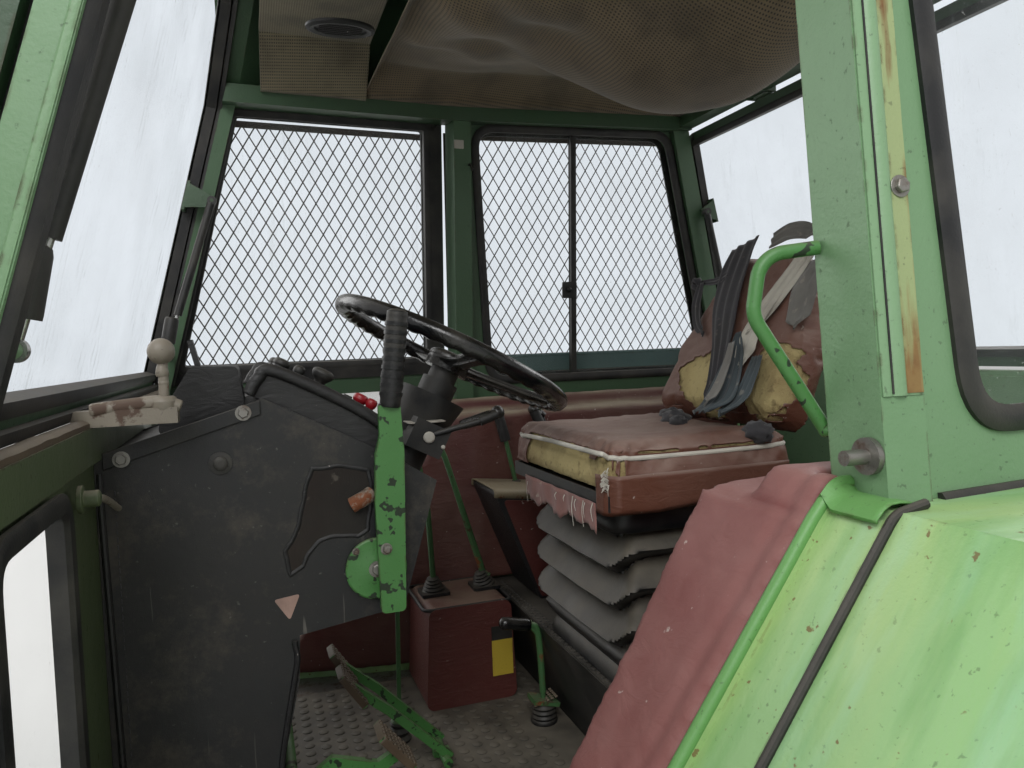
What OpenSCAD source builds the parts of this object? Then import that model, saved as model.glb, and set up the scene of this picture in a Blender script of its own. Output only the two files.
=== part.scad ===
// Tractor cab on its four rubber mounts. X points forward, Y to the driver's left, Z up.
// The origin is the centre of the four mounting bolts, at the underside of the mounts.

/* [Cab shell] */
// Height of the floor plate's top above the mounting face
floor_h = 150; // [130:1:180]
// Height of the belt line, where the windows start
belt_h = 890; // [850:1:930]
// Height of the windows above the belt line
window_h = 668; // [620:1:710]
// Height of the roof above the windows
roof_rise = 245; // [225:1:270]
// Half width outside at the middle posts, at the belt line
b_half_w = 770; // [740:1:800]
// Place of the middle posts' front face
b_x = 32; // [10:1:60]
// Angle by which the sides lean inward above the belt line
tumble = 5.1; // [4:0.1:6.5]
// Angle by which the sides close in towards the front
front_taper = 3.6; // [2.5:0.1:4.5]
// Angle by which the sides close in towards the rear
rear_taper = 4.3; // [3:0.1:5]

/* [Posts and rails] */
// Distance from the middle posts to the front posts at the belt line
a_reach = 709; // [690:1:730]
// How far the front posts lean back over the windows' height
a_lean = 179; // [160:1:195]
// Distance from the middle posts to the rear posts at the belt line
c_reach = 800; // [770:1:830]
// How far the rear posts lean forward over the windows' height
c_lean = 148; // [135:1:165]
// Width of a front post, seen from the side
a_post_w = 30; // [26:1:36]
// Depth of the front posts from outside to inside
a_post_t = 34; // [30:1:40]
// Width of a rear post
post_w = 48; // [40:1:56]
// Width of a middle post, seen from the side
b_post_w = 47; // [40:1:55]
// Depth of the middle posts from outside to inside
b_post_t = 74; // [66:1:80]
// Depth of the rear posts
post_t = 50; // [44:1:56]
// Height of the rails above the windows
rail_h = 42; // [36:1:50]

/* [Floor and mounts] */
// Distance between the front and rear mounting bolts
mount_dx = 1100; // [1000:1:1200]
// Distance between the left and right mounting bolts
mount_dy = 760; // [700:1:800]
// Diameter of a mount's bolt hole
mount_bore = 17; // [13:0.5:21]
// Height of a rubber mount
mount_h = 58; // [50:1:70]
// Diameter of a rubber mount
mount_d = 92; // [80:1:104]
// Thickness of the steel floor plate
floor_t = 6; // [4:0.5:8]
// Width of a longitudinal rail of the base frame
base_w = 60; // [50:1:70]
// Height of the seat platform above the floor
platform_h = 220; // [190:1:240]
// Place of the platform's front edge
platform_x = 5; // [-10:1:30]
// How far the platform's front face slants back down to the floor
undercut = 65; // [40:1:80]

/* [Fenders] */
// Half width between the fenders' inner walls
well_half_w = 560; // [550:1:570]
// Half width outside the fenders
fender_half_w = 985; // [940:1:1010]
// Drop from the belt line to the fenders' top
fender_drop = 82; // [70:1:92]
// Drop from the fenders' top to their inner ledge
ledge_drop = 33; // [28:1:38]
// Half width at the riser between ledge and top
ledge_y = 655; // [650:1:665]
// Angle by which the front ends of the inner walls splay outward
splay = 12.4; // [10:0.1:14]
// Slope of the fenders' front
fender_slope = 53.4; // [52:0.1:55]
// Thickness of a fender's sheet
fender_t = 6; // [5:0.5:8]
// Thickness of the padded covers
cover_t = 20; // [16:1:24]

/* [Doors and windows] */
// Thickness of a door's frame
door_t = 34; // [28:1:36]
// Width of a door's frame
door_w = 36; // [30:1:42]
// Gap round a closed door
door_gap = 8; // [6:0.5:10]
// Thickness of the window glass
glass_t = 5; // [4:0.5:6]
// Angle at which the left door stands open
door_open = 100; // [80:1:110]
// Slope of the windscreen from upright
screen_slope = 15; // [13:0.5:17]
// Width of one diamond of the side guard's mesh
mesh_w = 62; // [52:1:90]
// Height of one diamond of the side guard's mesh
mesh_h = 104; // [90:1:130]
// Width of a strand of the mesh
strand_w = 6; // [5:0.5:8]

/* [Driver's place] */
// Half width of the dash
dash_half_w = 220; // [200:1:240]
// Radius of the steering wheel's rim
wheel_r = 205; // [190:1:220]
// Thickness of the steering wheel's rim
rim_d = 26; // [22:1:30]
// Height of the steering wheel's centre above the seat pan
wheel_rise = 256; // [236:1:276]
// Place of the steering wheel's centre
wheel_x = 220; // [205:1:235]
// Tilt of the steering column
column_tilt = 27.5; // [24:0.5:31]
// Height of the seat pan
seat_h = 694; // [680:1:710]
// Half width of the seat
seat_half_w = 232; // [215:1:250]
// Depth of the seat from front to rear
seat_depth = 375; // [350:1:400]
// Place of the seat's front edge
seat_x = 40; // [30:1:50]
// Lean of the seat's back
back_lean = 27; // [22:1:32]

/* [Hidden] */
$fn = 48;

green = "#4f8a4a";
dark_green = "#2f5a3a";
black = "#1d1d1f";
leather = "#7a3f38";
steel = "#8a8d8f";
clear = "#bcd3d8";

fender_h = belt_h - fender_drop;
wheel_h = seat_h + wheel_rise;
window_top = belt_h + window_h;
side_h = window_h / cos(tumble);
post_foot = floor_h - belt_h;
rear_x = b_x - c_reach * cos(rear_taper) - post_w;
front_x = b_x + (a_reach + a_post_w) * cos(front_taper);
a_half_w = b_half_w - (a_reach + a_post_w) * sin(front_taper);
front_face = front_x - a_post_w;
c_half_w = b_half_w - (c_reach + post_w) * sin(rear_taper);

// Outline arithmetic
function unit(v) = v / norm(v);
function heading(v) = atan2(v.y, v.x);
function short_turn(a) = ((a + 540) % 360) - 180;
function at(points, i) = points[(i + len(points)) % len(points)];

// Points of a closed outline with each corner rounded by the radius r
function rounded(points, r, steps = 5) = [
    for (i = [0 : len(points) - 1])
        let (
            p = points[i],
            u = unit(at(points, i - 1) - p),
            v = unit(at(points, i + 1) - p),
            half = acos(u * v) / 2,
            centre = p + unit(u + v) * r / sin(half),
            start = heading(p + u * r / tan(half) - centre),
            sweep = short_turn(heading(p + v * r / tan(half) - centre) - start)
        )
        for (k = [0 : steps]) centre + r * [cos(start + sweep * k / steps), sin(start + sweep * k / steps)]
];

// Points of an outline moved inward by w, for outlines that run anticlockwise
function inset(points, w) = [
    for (i = [0 : len(points) - 1])
        let (
            u = unit(points[i] - at(points, i - 1)),
            v = unit(at(points, i + 1) - points[i]),
            n = unit([-u.y - v.y, u.x + v.x])
        )
        points[i] + n * w / (n * [-u.y, u.x])
];

// A straight bar between two points, with the child outline as its section
module bar(a, b) {
    d = b - a;
    turn = atan2(d.y, d.x);
    translate(a) rotate([0, 0, turn]) rotate([0, acos(d.z / norm(d)), 0]) rotate([0, 0, -turn])
        linear_extrude(norm(d)) children();
}

// A round bar through a list of points, with bends of the radius r
module pipe(points, d, r) {
    ends = [for (i = [1 : len(points) - 2]) let (
        p = points[i],
        u = unit(points[i - 1] - p),
        v = unit(points[i + 1] - p),
        half = acos(u * v) / 2
    ) [p + u * r / tan(half), p + v * r / tan(half), p + unit(u + v) * r / sin(half), 180 - 2 * half]];
    for (i = [0 : len(ends)])
        bar(i == 0 ? points[0] : ends[i - 1][1], i == len(ends) ? points[i + 1] : ends[i][0]) circle(d = d);
    for (e = ends) {
        a = unit(e[0] - e[2]);
        n = unit(cross(a, e[1] - e[2]));
        b = cross(n, a);
        multmatrix([[a.x, b.x, n.x, e[2].x], [a.y, b.y, n.y, e[2].y], [a.z, b.z, n.z, e[2].z]])
            rotate_extrude(angle = e[3]) translate([r, 0]) circle(d = d);
    }
}

// A round bar through a list of points, with a ball a little thicker than the bar at each bend
module bent_bar(points, d) {
    for (i = [1 : len(points) - 1]) bar(points[i - 1], points[i]) circle(d = d);
    for (i = [1 : len(points) - 2]) translate(points[i]) sphere(d = d + 0.8);
}

// Points of a line that runs t to the right of the given one, as seen along it
function beside(points, t) = [
    for (i = [0 : len(points) - 1])
        let (
            u = unit(points[max(i, 1)] - points[max(i, 1) - 1]),
            v = unit(points[min(i + 1, len(points) - 1)] - points[min(i, len(points) - 2)]),
            n = unit([u.y + v.y, -u.x - v.x])
        )
        points[i] + n * t / (n * [u.y, -u.x])
];

// A strip of sheet along a line of points, t thick on its right
module strip(points, t) {
    other = beside(points, t);
    polygon(concat(points, [for (i = [len(points) - 1 : -1 : 0]) other[i]]));
}

module box(x, y, z) {
    translate([x[0], y[0], z[0]]) cube([x[1] - x[0], y[1] - y[0], z[1] - z[0]]);
}

module both_sides() {
    children();
    mirror([0, 1, 0]) children();
}

// An outline drawn in x and z, extruded across the cab between y0 and y1
module across(y0, y1) {
    translate([0, y1, 0]) rotate([90, 0, 0]) linear_extrude(y1 - y0) children();
}

// An outline on the left side, x forward from the middle post and y up from the belt line,
// extruded inward by t from a face that lies d outside the side's own face
module on_side(taper, lean, t, d = 0) {
    translate([b_x, b_half_w, belt_h]) rotate([0, 0, taper]) rotate([90 + lean, 0, 0])
        translate([0, 0, -d]) linear_extrude(t) children();
}

module upper_front(t, d = 0) { on_side(-front_taper, tumble, t, d) children(); }
module lower_front(t, d = 0) { on_side(-front_taper, 0, t, d) children(); }
module upper_rear(t, d = 0) { on_side(rear_taper, tumble, t, d) children(); }

// Base frame and floor

base_top = floor_h - floor_t;
sill_t = 46;
mount_places = [for (sx = [-1, 1], sy = [-1, 1]) [sx * mount_dx / 2, sy * mount_dy / 2]];

module base_frame() color(dark_green) difference() {
    union() {
        both_sides() {
            box([rear_x + 46, front_x - 4], [mount_dy - base_w, mount_dy + base_w] / 2, [mount_h, base_top]);
            lower_front(sill_t) polygon([
                [slope_s(floor_h) + 6, post_foot - 60], [a_reach, post_foot - 60],
                [a_reach, post_foot - floor_t], [slope_s(floor_h) + 6, post_foot - floor_t]
            ]);
        }
        for (x = [-mount_dx / 2, 0, mount_dx / 2])
            box([x - 35, x + 35], [-mount_dy / 2, mount_dy / 2], [mount_h + 14, base_top]);
        for (sy = [-1, 1])
            box([mount_dx / 2 - 35, mount_dx / 2 + 35], sy > 0 ? [mount_dy / 2, 700] : [-700, -mount_dy / 2],
                [mount_h + 14, base_top]);
    }
    for (p = mount_places) translate([p.x, p.y, 0]) cylinder(h = floor_h, d = mount_bore);
}

module cab_mounts() color(black) for (p = mount_places) translate([p.x, p.y, 0]) difference() {
    rotate_extrude() polygon([
        [0, 0], [mount_d / 2, 0], [mount_d / 2, 8], [mount_d / 2 - 12, 20],
        [mount_d / 2 - 12, mount_h - 20], [mount_d / 2, mount_h - 8], [mount_d / 2, mount_h], [0, mount_h]
    ]);
    translate([0, 0, -1]) cylinder(h = mount_h + 2, d = mount_bore);
}

// Distance forward of the middle post at which the fender's slope meets the height z
fender_front = b_x + 12;
function slope_x(z) = fender_front + (fender_h - z) / tan(fender_slope);
function slope_s(z) = slope_x(z) - b_x;

// Half width between the inner walls' front ends at the place x
splay_x = 20;
function splay_y(x) = well_half_w + (x - splay_x) * tan(splay);
function reversed(list) = [for (i = [len(list) - 1 : -1 : 0]) list[i]];
module floor_plate() color(steel) translate([0, 0, base_top]) linear_extrude(floor_t) polygon([
    for (side = [-1, 1], p = side < 0 ? floor_plan : reversed(floor_plan)) [p.x, side * p.y]
]);
platform_foot = platform_x - undercut;
floor_end = slope_x(floor_h) + 8;
floor_plan = [
    [platform_foot - 20, well_half_w], [splay_x, well_half_w], [floor_end, splay_y(floor_end) - 0.4],
    [floor_end, a_half_w - sill_t], [front_face, a_half_w - sill_t]
];

mat_t = 9;
mat_front = front_face - 40;
mat_half_w = well_half_w - cover_t - 4;
module floor_mat() color(black) difference() {
    box([platform_foot + 4, mat_front], [-mat_half_w, mat_half_w], [floor_h, floor_h + mat_t]);
    translate([dash_rear(floor_h) - 4, -dash_half_w - 2, floor_h - 1])
        cube([600, 2 * dash_half_w + 4, mat_t + 2]);
}

// The platform is a box of sheet, open below, with two ribs inside
platform_top = floor_h + platform_h;
platform_t = 6;
// Its side view, moved inward by t
module platform_side(t) polygon([
    [rear_x + 46 + t, floor_h - t], [platform_foot - t, floor_h - t],
    [platform_x - t - 2 * undercut * t / platform_h, platform_top - t], [rear_x + 46 + t, platform_top - t]
]);
module seat_platform() color(black) {
    difference() {
        across(1 - well_half_w, well_half_w - 1) platform_side(0);
        across(1 + platform_t - well_half_w, well_half_w - 1 - platform_t) platform_side(platform_t);
    }
    for (y = [-1, 1] * 180)
        box([rear_x + 60, platform_foot - 20], [y - 20, y + 20], [floor_h, platform_top - platform_t]);
}

// Fenders

fender_tail = [rear_x - 140, fender_h - 160];
fender_line = [
    fender_tail, [rear_x - 20, fender_h], [fender_front, fender_h], [slope_x(floor_h), floor_h]
];
ledge_h = fender_h - ledge_drop;
wall_x = rear_x + 45;
channel_y = [722, 795];
channel_t = 5;
ridge = 14;
// Everything inside the splayed front end of an inner wall, d further in than the wall's face
module splay_cut(d) translate([splay_x, well_half_w - d, 0]) rotate(splay) translate([0, -300, 0])
    cube([800, 300, 1000]);
// The side view of a fender below the height h, from the place x back to its slope less the margin m
module fender_side(x, low, h, m = 0) {
    foot_x = slope_x(floor_h) - m;
    polygon([[x, low], [x, h - m], [slope_x(h) - m, h - m], [foot_x, floor_h], [foot_x, low]]);
}

module fender() {
    difference() {
        union() {
            difference() {
                across(well_half_w, fender_half_w) strip(fender_line, fender_t);
                box([rear_x - 200, fender_front + 60], [well_half_w - 1, ledge_y], [ledge_h, fender_h + 1]);
                box([rear_x - 200, wall_x], [well_half_w - 1, ledge_y], [floor_h, fender_h + 1]);
            }
            box([wall_x, slope_x(ledge_h) - 3], [well_half_w, ledge_y + 2], [ledge_h - fender_t, ledge_h]);
            across(ledge_y, ledge_y + fender_t) polygon([
                [wall_x, ledge_h - 4], [wall_x, fender_h - 3], [fender_front - 2, fender_h - 3],
                [slope_x(ledge_h) - 2, ledge_h - 4]
            ]);
            across(well_half_w, well_half_w + fender_t) fender_side(wall_x, base_top, ledge_h, 3);
        }
        translate([0.5, 1, 0]) splay_cut(0);
    }
    intersection() {
        translate([splay_x, well_half_w, base_top]) rotate(splay) cube([700, fender_t, 900]);
        across(well_half_w - 10, ledge_y + 60) fender_side(0, base_top, ledge_h, 3);
    }
    across(fender_half_w - fender_t, fender_half_w) strip(fender_line, 70);
    across(channel_y[0], channel_y[1]) channel(channel_t);
    across(channel_y[0], channel_y[0] + 12) channel(ridge);
}
// The side view of the channel up the slope, t thick
module channel(t) intersection() {
    translate(fender_line[2]) rotate(-fender_slope) translate([12, -2]) square([840, t + 2]);
    translate([-200, floor_h]) square([900, 900]);
}

module fender_left() color(green) fender();
module fender_right() color(green) mirror([0, 1, 0]) fender();

// Half widths of the cover: inner face, inner and outer edge of its top roll, edge at the channel
cover_y = [well_half_w - cover_t, 640, 684, channel_y[0] - 0.5];
roll_t = 18;
cover_foot = floor_h + 20;
cover_lift = roll_t / sin(fender_slope);
cover_h = fender_h + roll_t;
// The cover's side view from the height low at its rear end x
module cover_side(x, low) {
    inner_x = max(x, platform_x + 24);
    polygon([
        [x, low], [x, cover_h], [slope_x(cover_h) + cover_lift, cover_h],
        [slope_x(cover_foot) + cover_lift, cover_foot], [inner_x, cover_foot], [inner_x, low]
    ]);
}
module cover() difference() {
    union() {
        across(cover_y[0], cover_y[2]) cover_side(wall_x + 15, platform_top + 4);
        across(cover_y[2] - 1, cover_y[3]) cover_side(b_x + 3, fender_h - 40);
    }
    box([rear_x, 300], [cover_y[0] - 1, cover_y[1]], [ledge_h + cover_t, cover_h + 1]);
    splay_cut(cover_t);
    difference() {
        union() {
            across(well_half_w - 0.3, ledge_y + 1) fender_side(rear_x, 0, ledge_h, -0.3);
            across(ledge_y - 0.3, channel_y[0]) fender_side(rear_x, 0, fender_h, -0.3);
        }
        splay_cut(0.3);
    }
}
module cover_left() color(leather) cover();
module cover_right() color(leather) mirror([0, 1, 0]) cover();

// Posts, roof frame and walls

// The front posts' lower lengths stand this much inside the faces of the upper ones, which lean
post_step = 1;
a_post_in = a_post_t - 2 * post_step;
// Foot of the middle and rear posts along the leaning side, cut level on the fender's top
foot = (fender_h - belt_h) / cos(tumble) - 12;
rear_rake = c_lean / side_h;
module on_fender() difference() {
    children();
    box([-1500, 500], [-1200, 1200], [fender_h - 100, fender_h]);
}
module posts() color(green) both_sides() {
    upper_front(a_post_t) polygon([
        [a_reach, -4], [a_reach + a_post_w, -4],
        [a_reach - a_lean + a_post_w, side_h], [a_reach - a_lean, side_h]
    ]);
    lower_front(a_post_t - 3 * post_step, -post_step) polygon([
        [a_reach, post_foot], [a_reach + a_post_w, post_foot], [a_reach + a_post_w, 3], [a_reach, 3]
    ]);
    on_fender() {
        upper_front(b_post_t) polygon([[-b_post_w, foot], [0, foot], [0, side_h], [-b_post_w, side_h]]);
        upper_rear(post_t) polygon([
            [-c_reach - post_w + foot * rear_rake, foot], [-c_reach + foot * rear_rake, foot],
            [-c_reach + c_lean, side_h], [-c_reach + c_lean - post_w, side_h]
        ]);
    }
}

// The front arch carries the windscreen's hinge; it narrows above the windows
arch_rise = 190;
arch_half_w = 470;
a_top = [
    b_x + (a_reach - a_lean + a_post_w / 2) * cos(front_taper),
    b_half_w - window_h * tan(tumble) - (a_reach - a_lean + a_post_w / 2) * sin(front_taper) - a_post_t / 2,
    window_top
];
c_top = [
    b_x - (c_reach - c_lean + post_w / 2) * cos(rear_taper),
    b_half_w - window_h * tan(tumble) - (c_reach - c_lean + post_w / 2) * sin(rear_taper) - post_t / 2,
    window_top
];
arch_top = [a_top.x - arch_rise * tan(screen_slope) - 4, arch_half_w, window_top + arch_rise];

// The pin of a window's top hinge at the place y, between two lugs that reach along x
module pin_and_lugs(p, y, x) {
    translate([p.x, y - hinge_len / 2 - 8, p.y]) rotate([-90, 0, 0])
        cylinder(h = hinge_len + 16, d = hinge_pin);
    for (end = [-1, 1]) translate([0, y + end * (hinge_len / 2 + 5), 0]) box(x, [-4, 4], [p.y - 8, p.y + 8]);
}
module roof_frame() color(dark_green) {
    both_sides() {
        upper_front(b_post_t - 4) polygon([
            [-b_post_w, side_h + 0.5], [a_reach - a_lean + a_post_w, side_h + 0.5],
            [a_reach - a_lean + a_post_w - 11, side_h + rail_h], [-b_post_w, side_h + rail_h]
        ]);
        upper_rear(b_post_t - 4) polygon([
            [-c_reach + c_lean - post_w, side_h + 0.5], [6, side_h + 0.5], [6, side_h + rail_h],
            [-c_reach + c_lean - post_w + 10, side_h + rail_h]
        ]);
        bar([a_top.x - 8, a_top.y + 2, window_top + 26], arch_top) square([36, 40], center = true);
        for (y = screen_hinges) pin_and_lugs(screen_top, y, [arch_top.x, screen_top.x + 8]);
        for (y = rear_hinges) pin_and_lugs(rear_top, y, [rear_top.x - 8, c_top.x]);
    }
    translate([arch_top.x, 0, arch_top.z]) rotate([0, -screen_slope, 0])
        cube([36, 2 * arch_half_w + 8, 36], center = true);
    box([c_top.x - 19, c_top.x + 24], [-c_top.y, c_top.y], [window_top, window_top + rail_h]);
}

sill_top = belt_h - 8;
sill_h = 44;
sill_foot = sill_top - sill_h;
bulkhead_half_w = 420;

module front_wall() color(green) {
    width = [a_post_in - a_half_w, a_half_w - a_post_in];
    box([front_face, front_x], width, [sill_foot, sill_top]);
    difference() {
        box([front_face + 10, front_face + 16], width, [floor_h, sill_foot]);
        both_sides() translate([front_face, 0, 0]) rotate([90, 0, 90]) linear_extrude(40)
            polygon(rounded(lower_pane, 34));
    }
    box([front_face, front_x], width, [floor_h, floor_h + 40]);
}

lower_pane = [
    [bulkhead_half_w + 16, floor_h + 60], [a_half_w - a_post_t - 14, floor_h + 60],
    [a_half_w - a_post_t - 14, sill_foot - 14], [bulkhead_half_w + 16, sill_foot - 14]
];
module lower_glass() color(clear) both_sides()
    translate([front_face + 16.3, 0, 0]) rotate([90, 0, 90]) linear_extrude(glass_t)
        polygon(rounded(inset(lower_pane, -10), 40));

module rear_wall() color(green) {
    box([rear_x, rear_x + 40], [post_t - 0.6 - c_half_w, c_half_w - post_t + 0.6], [fender_h + 1, sill_top]);
    box([rear_x + 38, rear_x + 44], [-well_half_w, well_half_w], [mount_h + 20, sill_top - 10]);
}

// Quarter windows behind the middle posts
panel_depth = 30;
quarter_front = -b_post_w - panel_depth * tan(front_taper + rear_taper) - 1;
// The front edge leans back by this much, because the two side planes part as they lean inward
quarter_lean = window_h * tan(tumble) * (tan(front_taper) + tan(rear_taper)) + 1;
quarter_opening = [
    [-c_reach + 6, -20], [-b_post_w - 62, -20],
    [-b_post_w - 30, side_h - 6], [-c_reach + c_lean + 10, side_h - 6]
];
// Bar that divides a quarter window, and the latch of its sliding pane: place, width and height
divider = [-372, 12];
latch = [-366, 30, 216, 26];
module quarter_panels() color(green) both_sides() on_fender() {
    upper_rear(panel_depth) difference() {
        polygon([
            [-c_reach + 1.5 + foot * rear_rake, foot], [quarter_front - foot * quarter_lean / side_h, foot],
            [quarter_front - quarter_lean, side_h - 1], [-c_reach + c_lean + 1, side_h - 1]
        ]);
        polygon(rounded(quarter_opening, 60));
    }
    upper_rear(14) translate([divider[0], -24]) square([divider[1], side_h + 20]);
    upper_rear(22) translate([latch[0], latch[2]]) square([latch[1], latch[3]]);
}
module quarter_glass() color(clear) both_sides() upper_rear(glass_t, 5.3)
    polygon(rounded(inset(quarter_opening, -5), 65));

// Roof

roof_lip = 26;
// Sections of the roof from front to rear: place, half width at the rails and on top, height
roof_sections = [
    [a_top.x + 10, a_top.y + post_t / 2 + roof_lip - 4, arch_half_w + 46, roof_rise - 12],
    [b_x, b_half_w - window_h * tan(tumble) + roof_lip, arch_half_w + 60, roof_rise],
    [c_top.x + 110, c_top.y + post_t / 2 + roof_lip, arch_half_w + 20, roof_rise - 16],
    [c_top.x - 50, c_top.y + post_t / 2 + 10, arch_half_w - 10, roof_rise - 90]
];
roof_t = 8;
roof_seat = window_top + rail_h;
flange_w = 54;
flange_t = 4;
// One slice of the roof's section, moved inward and cut off below the height low
module roof_slice(s, inward, low) {
    w = s[1] - inward;
    top = s[2] - inward * 0.6;
    rise = s[3] - rail_h - inward;
    translate([s[0], 0, roof_seat]) rotate([90, 0, 90]) linear_extrude(1) polygon([
        [-w, low], [w, low], [w - 4, 24], [top, rise - 24], [top - 80, rise],
        [80 - top, rise], [-top, rise - 24], [4 - w, 24]
    ]);
}
// The roof's plan, moved inward
module roof_plan(inward) polygon([
    for (side = [-1, 1], i = [0 : 3])
        let (s = roof_sections[side < 0 ? i : 3 - i])
            [s[0] + (s == roof_sections[0] ? 2 : 0), side * (s[1] - inward)]
]);
module roof_shell() color(green) difference() {
    for (i = [1 : 3]) hull() {
        roof_slice(roof_sections[i - 1], 0, -16);
        roof_slice(roof_sections[i], 0, -16);
    }
    for (i = [1 : 3]) hull() {
        translate([i == 1 ? 2 : 0, 0, 0]) roof_slice(roof_sections[i - 1], roof_t, flange_t + 0.3);
        translate([i == 3 ? roof_t : 0, 0, 0]) roof_slice(roof_sections[i], roof_t, flange_t + 0.3);
    }
    translate([0, 0, roof_seat - 17]) linear_extrude(17.3) intersection() {
        roof_plan(roof_t);
        translate([roof_sections[3][0] + roof_t, -1000]) square([2000, 2000]);
    }
    translate([0, 0, roof_seat - 1]) linear_extrude(flange_t + 2) {
        intersection() {
            roof_plan(flange_w);
            translate([roof_sections[3][0] + flange_w, -1000]) square([2000, 2000]);
        }
        intersection() {
            roof_plan(roof_t);
            translate([a_top.x - 60, -1000]) square([2000, 2000]);
        }
    }
}

// The ceiling hangs between the rails: cloth behind, a flat board in front
liner_t = 14;
liner_z = roof_seat - 20;
liner_rise = 112;
liner_x = [c_top.x + 26, 250, arch_top.x - 24];
// Half width between the side rails at the place x
function rail_gap(x) = b_half_w - window_h * tan(tumble) - b_post_t - 0.15
    - (x > b_x ? (x - b_x) * tan(front_taper) : (b_x - x) * tan(rear_taper));
module liner_slice(x, inward) {
    w = rail_gap(x) - inward;
    translate([x, 0, liner_z - inward]) rotate([90, 0, 90]) linear_extrude(0.5)
        polygon([[-w, 0], [w, 0], [w, liner_t], [w - 90, liner_rise], [90 - w, liner_rise], [-w, liner_t]]);
}
module liner(places) difference() {
    for (i = [1 : len(places) - 1]) hull() {
        liner_slice(places[i - 1], 0);
        liner_slice(places[i], 0);
    }
    for (i = [1 : len(places) - 1]) hull() {
        translate([-1, 0, 0]) liner_slice(places[i - 1], liner_t);
        translate([1, 0, 0]) liner_slice(places[i], liner_t);
    }
}
module headliner() color("#b6a78c") liner([liner_x[0], b_x, liner_x[1]]);
module ceiling_board() color("#a59c86") liner([liner_x[1] + 0.8, liner_x[2]]);

// Side guards of diamond mesh

module diamonds(x0, x1, y0, y1) {
    columns = [floor(x0 / mesh_w) - 1 : ceil(x1 / mesh_w) + 1];
    rows = [floor(y0 / mesh_h) - 1 : ceil(y1 / mesh_h) + 1];
    for (i = columns, j = rows, k = [0, 1])
        translate([(i + k / 2) * mesh_w, (j + k / 2) * mesh_h]) polygon([
            [-mesh_w / 2 + strand_w, 0], [0, -mesh_h / 2 + strand_w * mesh_h / mesh_w],
            [mesh_w / 2 - strand_w, 0], [0, mesh_h / 2 - strand_w * mesh_h / mesh_w]
        ]);
}
// The doors' upper outline: front edge at the belt, top, and lean of the front edge
door_front = a_reach + a_post_w - 8;
door_top = side_h + rail_h - 24;
door_rake = a_lean / door_top;
guard_out = 34;
guard_foot = 44;
guard_front = [
    [14, -6], [door_front - 10, -6],
    [door_front - 10 - (side_h - 14) * door_rake, side_h - 14], [14, side_h - 14]
];
guard_rear = [
    [-c_reach - 34, -6], [-8, -6], [-8, side_h - 14], [-c_reach + c_lean - 34, side_h - 14]
];
// Stand-offs of the door's guard: place and height
door_standoffs = [
    for (h = [30, side_h - 40], x = [door_gap + door_w / 2, door_front - door_w / 2 - h * door_rake]) [x, h]
];
// Stand-offs of the rear guard: place, height, and the depth of the post's face behind it
b_face = (b_post_w / 2) * tan(front_taper + rear_taper) + 1.2;
standoffs = [
    [-b_post_w / 2, 40, b_face], [-b_post_w / 2, side_h - 60, b_face],
    [-c_reach - 16, 40, 0.3], [-c_reach + c_lean - 34, side_h - 60, 0.3]
];
module guard_panel(outline) {
    difference() {
        polygon(outline);
        intersection() {
            polygon(inset(outline, 16));
            translate([-c_reach, guard_foot]) square([a_reach + c_reach, side_h]);
            diamonds(-c_reach, a_reach, 0, side_h);
        }
    }
}
module rear_guard() color("#5b4636") mirror([0, 1, 0]) {
    upper_rear(4, guard_out) guard_panel(guard_rear);
    for (p = standoffs) upper_rear(guard_out - 3 - p[2], guard_out - 3)
        translate([p[0], p[1]]) circle(d = 16);
}

// Dash

dash_outline = [
    [front_face - 2, floor_h], [front_face - 2, floor_h + 44], [front_face + 9.6, floor_h + 44],
    [front_face + 9.6, sill_foot - 0.4], [front_face - 0.4, sill_foot - 0.4], [wheel_x + 323, wheel_h - 46],
    [wheel_x + 161, wheel_h - 132], [wheel_x + 88, wheel_h - 179], [wheel_x + 143, wheel_h - 356],
    [wheel_x + 290, wheel_h - 376], [wheel_x + 293, wheel_h - 439], [wheel_x + 321, wheel_h - 557],
    [wheel_x + 340, floor_h]
];
// Place of the dash's rear face at the height z, below the knee
function dash_rear(z) = wheel_x + 340 - 19 * (z - floor_h) / (wheel_h - 557 - floor_h);
panel_t = 6;
module dash_body() color(black) difference() {
    across(-dash_half_w + panel_t, dash_half_w - panel_t) polygon(inset(dash_outline, 3));
    on_column() translate([0, 0, -column_len - 0.5]) cylinder(h = column_len, d = column_d + 1.2);
}
column_len = 220;
column_d = 64;
module dash_panels() color(black) both_sides()
    across(dash_half_w - panel_t + 0.3, dash_half_w) polygon(dash_outline);

pod_foot = dash_outline[5];
// Height of the dash's padded top ahead of the instruments, at the place x
hood_foot = dash_outline[4];
hood_fall = (pod_foot.y - hood_foot.y) / (hood_foot.x - pod_foot.x);
function dash_top(x) = pod_foot.y - (x - pod_foot.x) * hood_fall;
pod_turn = atan2(86, 162);
module instrument_panel() color("#232325") {
    translate([pod_foot.x, 0, pod_foot.y]) rotate([0, -pod_turn, 0]) {
        difference() {
            across(-dash_half_w + 7, dash_half_w - 7)
                polygon(rounded([[-184, -2.7], [14, -2.7], [20, 34], [-178, 34]], 6));
            box([-170, -22], [-dash_half_w + 26, dash_half_w - 26], [5, 36]);
        }
        for (i = [-1 : 1]) translate([-100, i * dial_pitch, 4]) cylinder(h = 14, d = dial_d);
        for (y = switch_row) translate([-8, y, 30]) {
            cylinder(h = 14, d = 14);
            translate([0, 0, 12]) cylinder(h = 9, d = 22);
        }
    }
    across(-70, 190) polygon(rounded([for (p = housing) pod_foot + p], 8));
    bar([pod_foot.x + 66, 150, pod_foot.y - 20], [pod_foot.x + 90, 150, pod_foot.y + 82])
        square([7, 24], center = true);
}
dial_pitch = 100;
dial_d = 78;
switch_row = [-150, -105, 60, 105];
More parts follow.
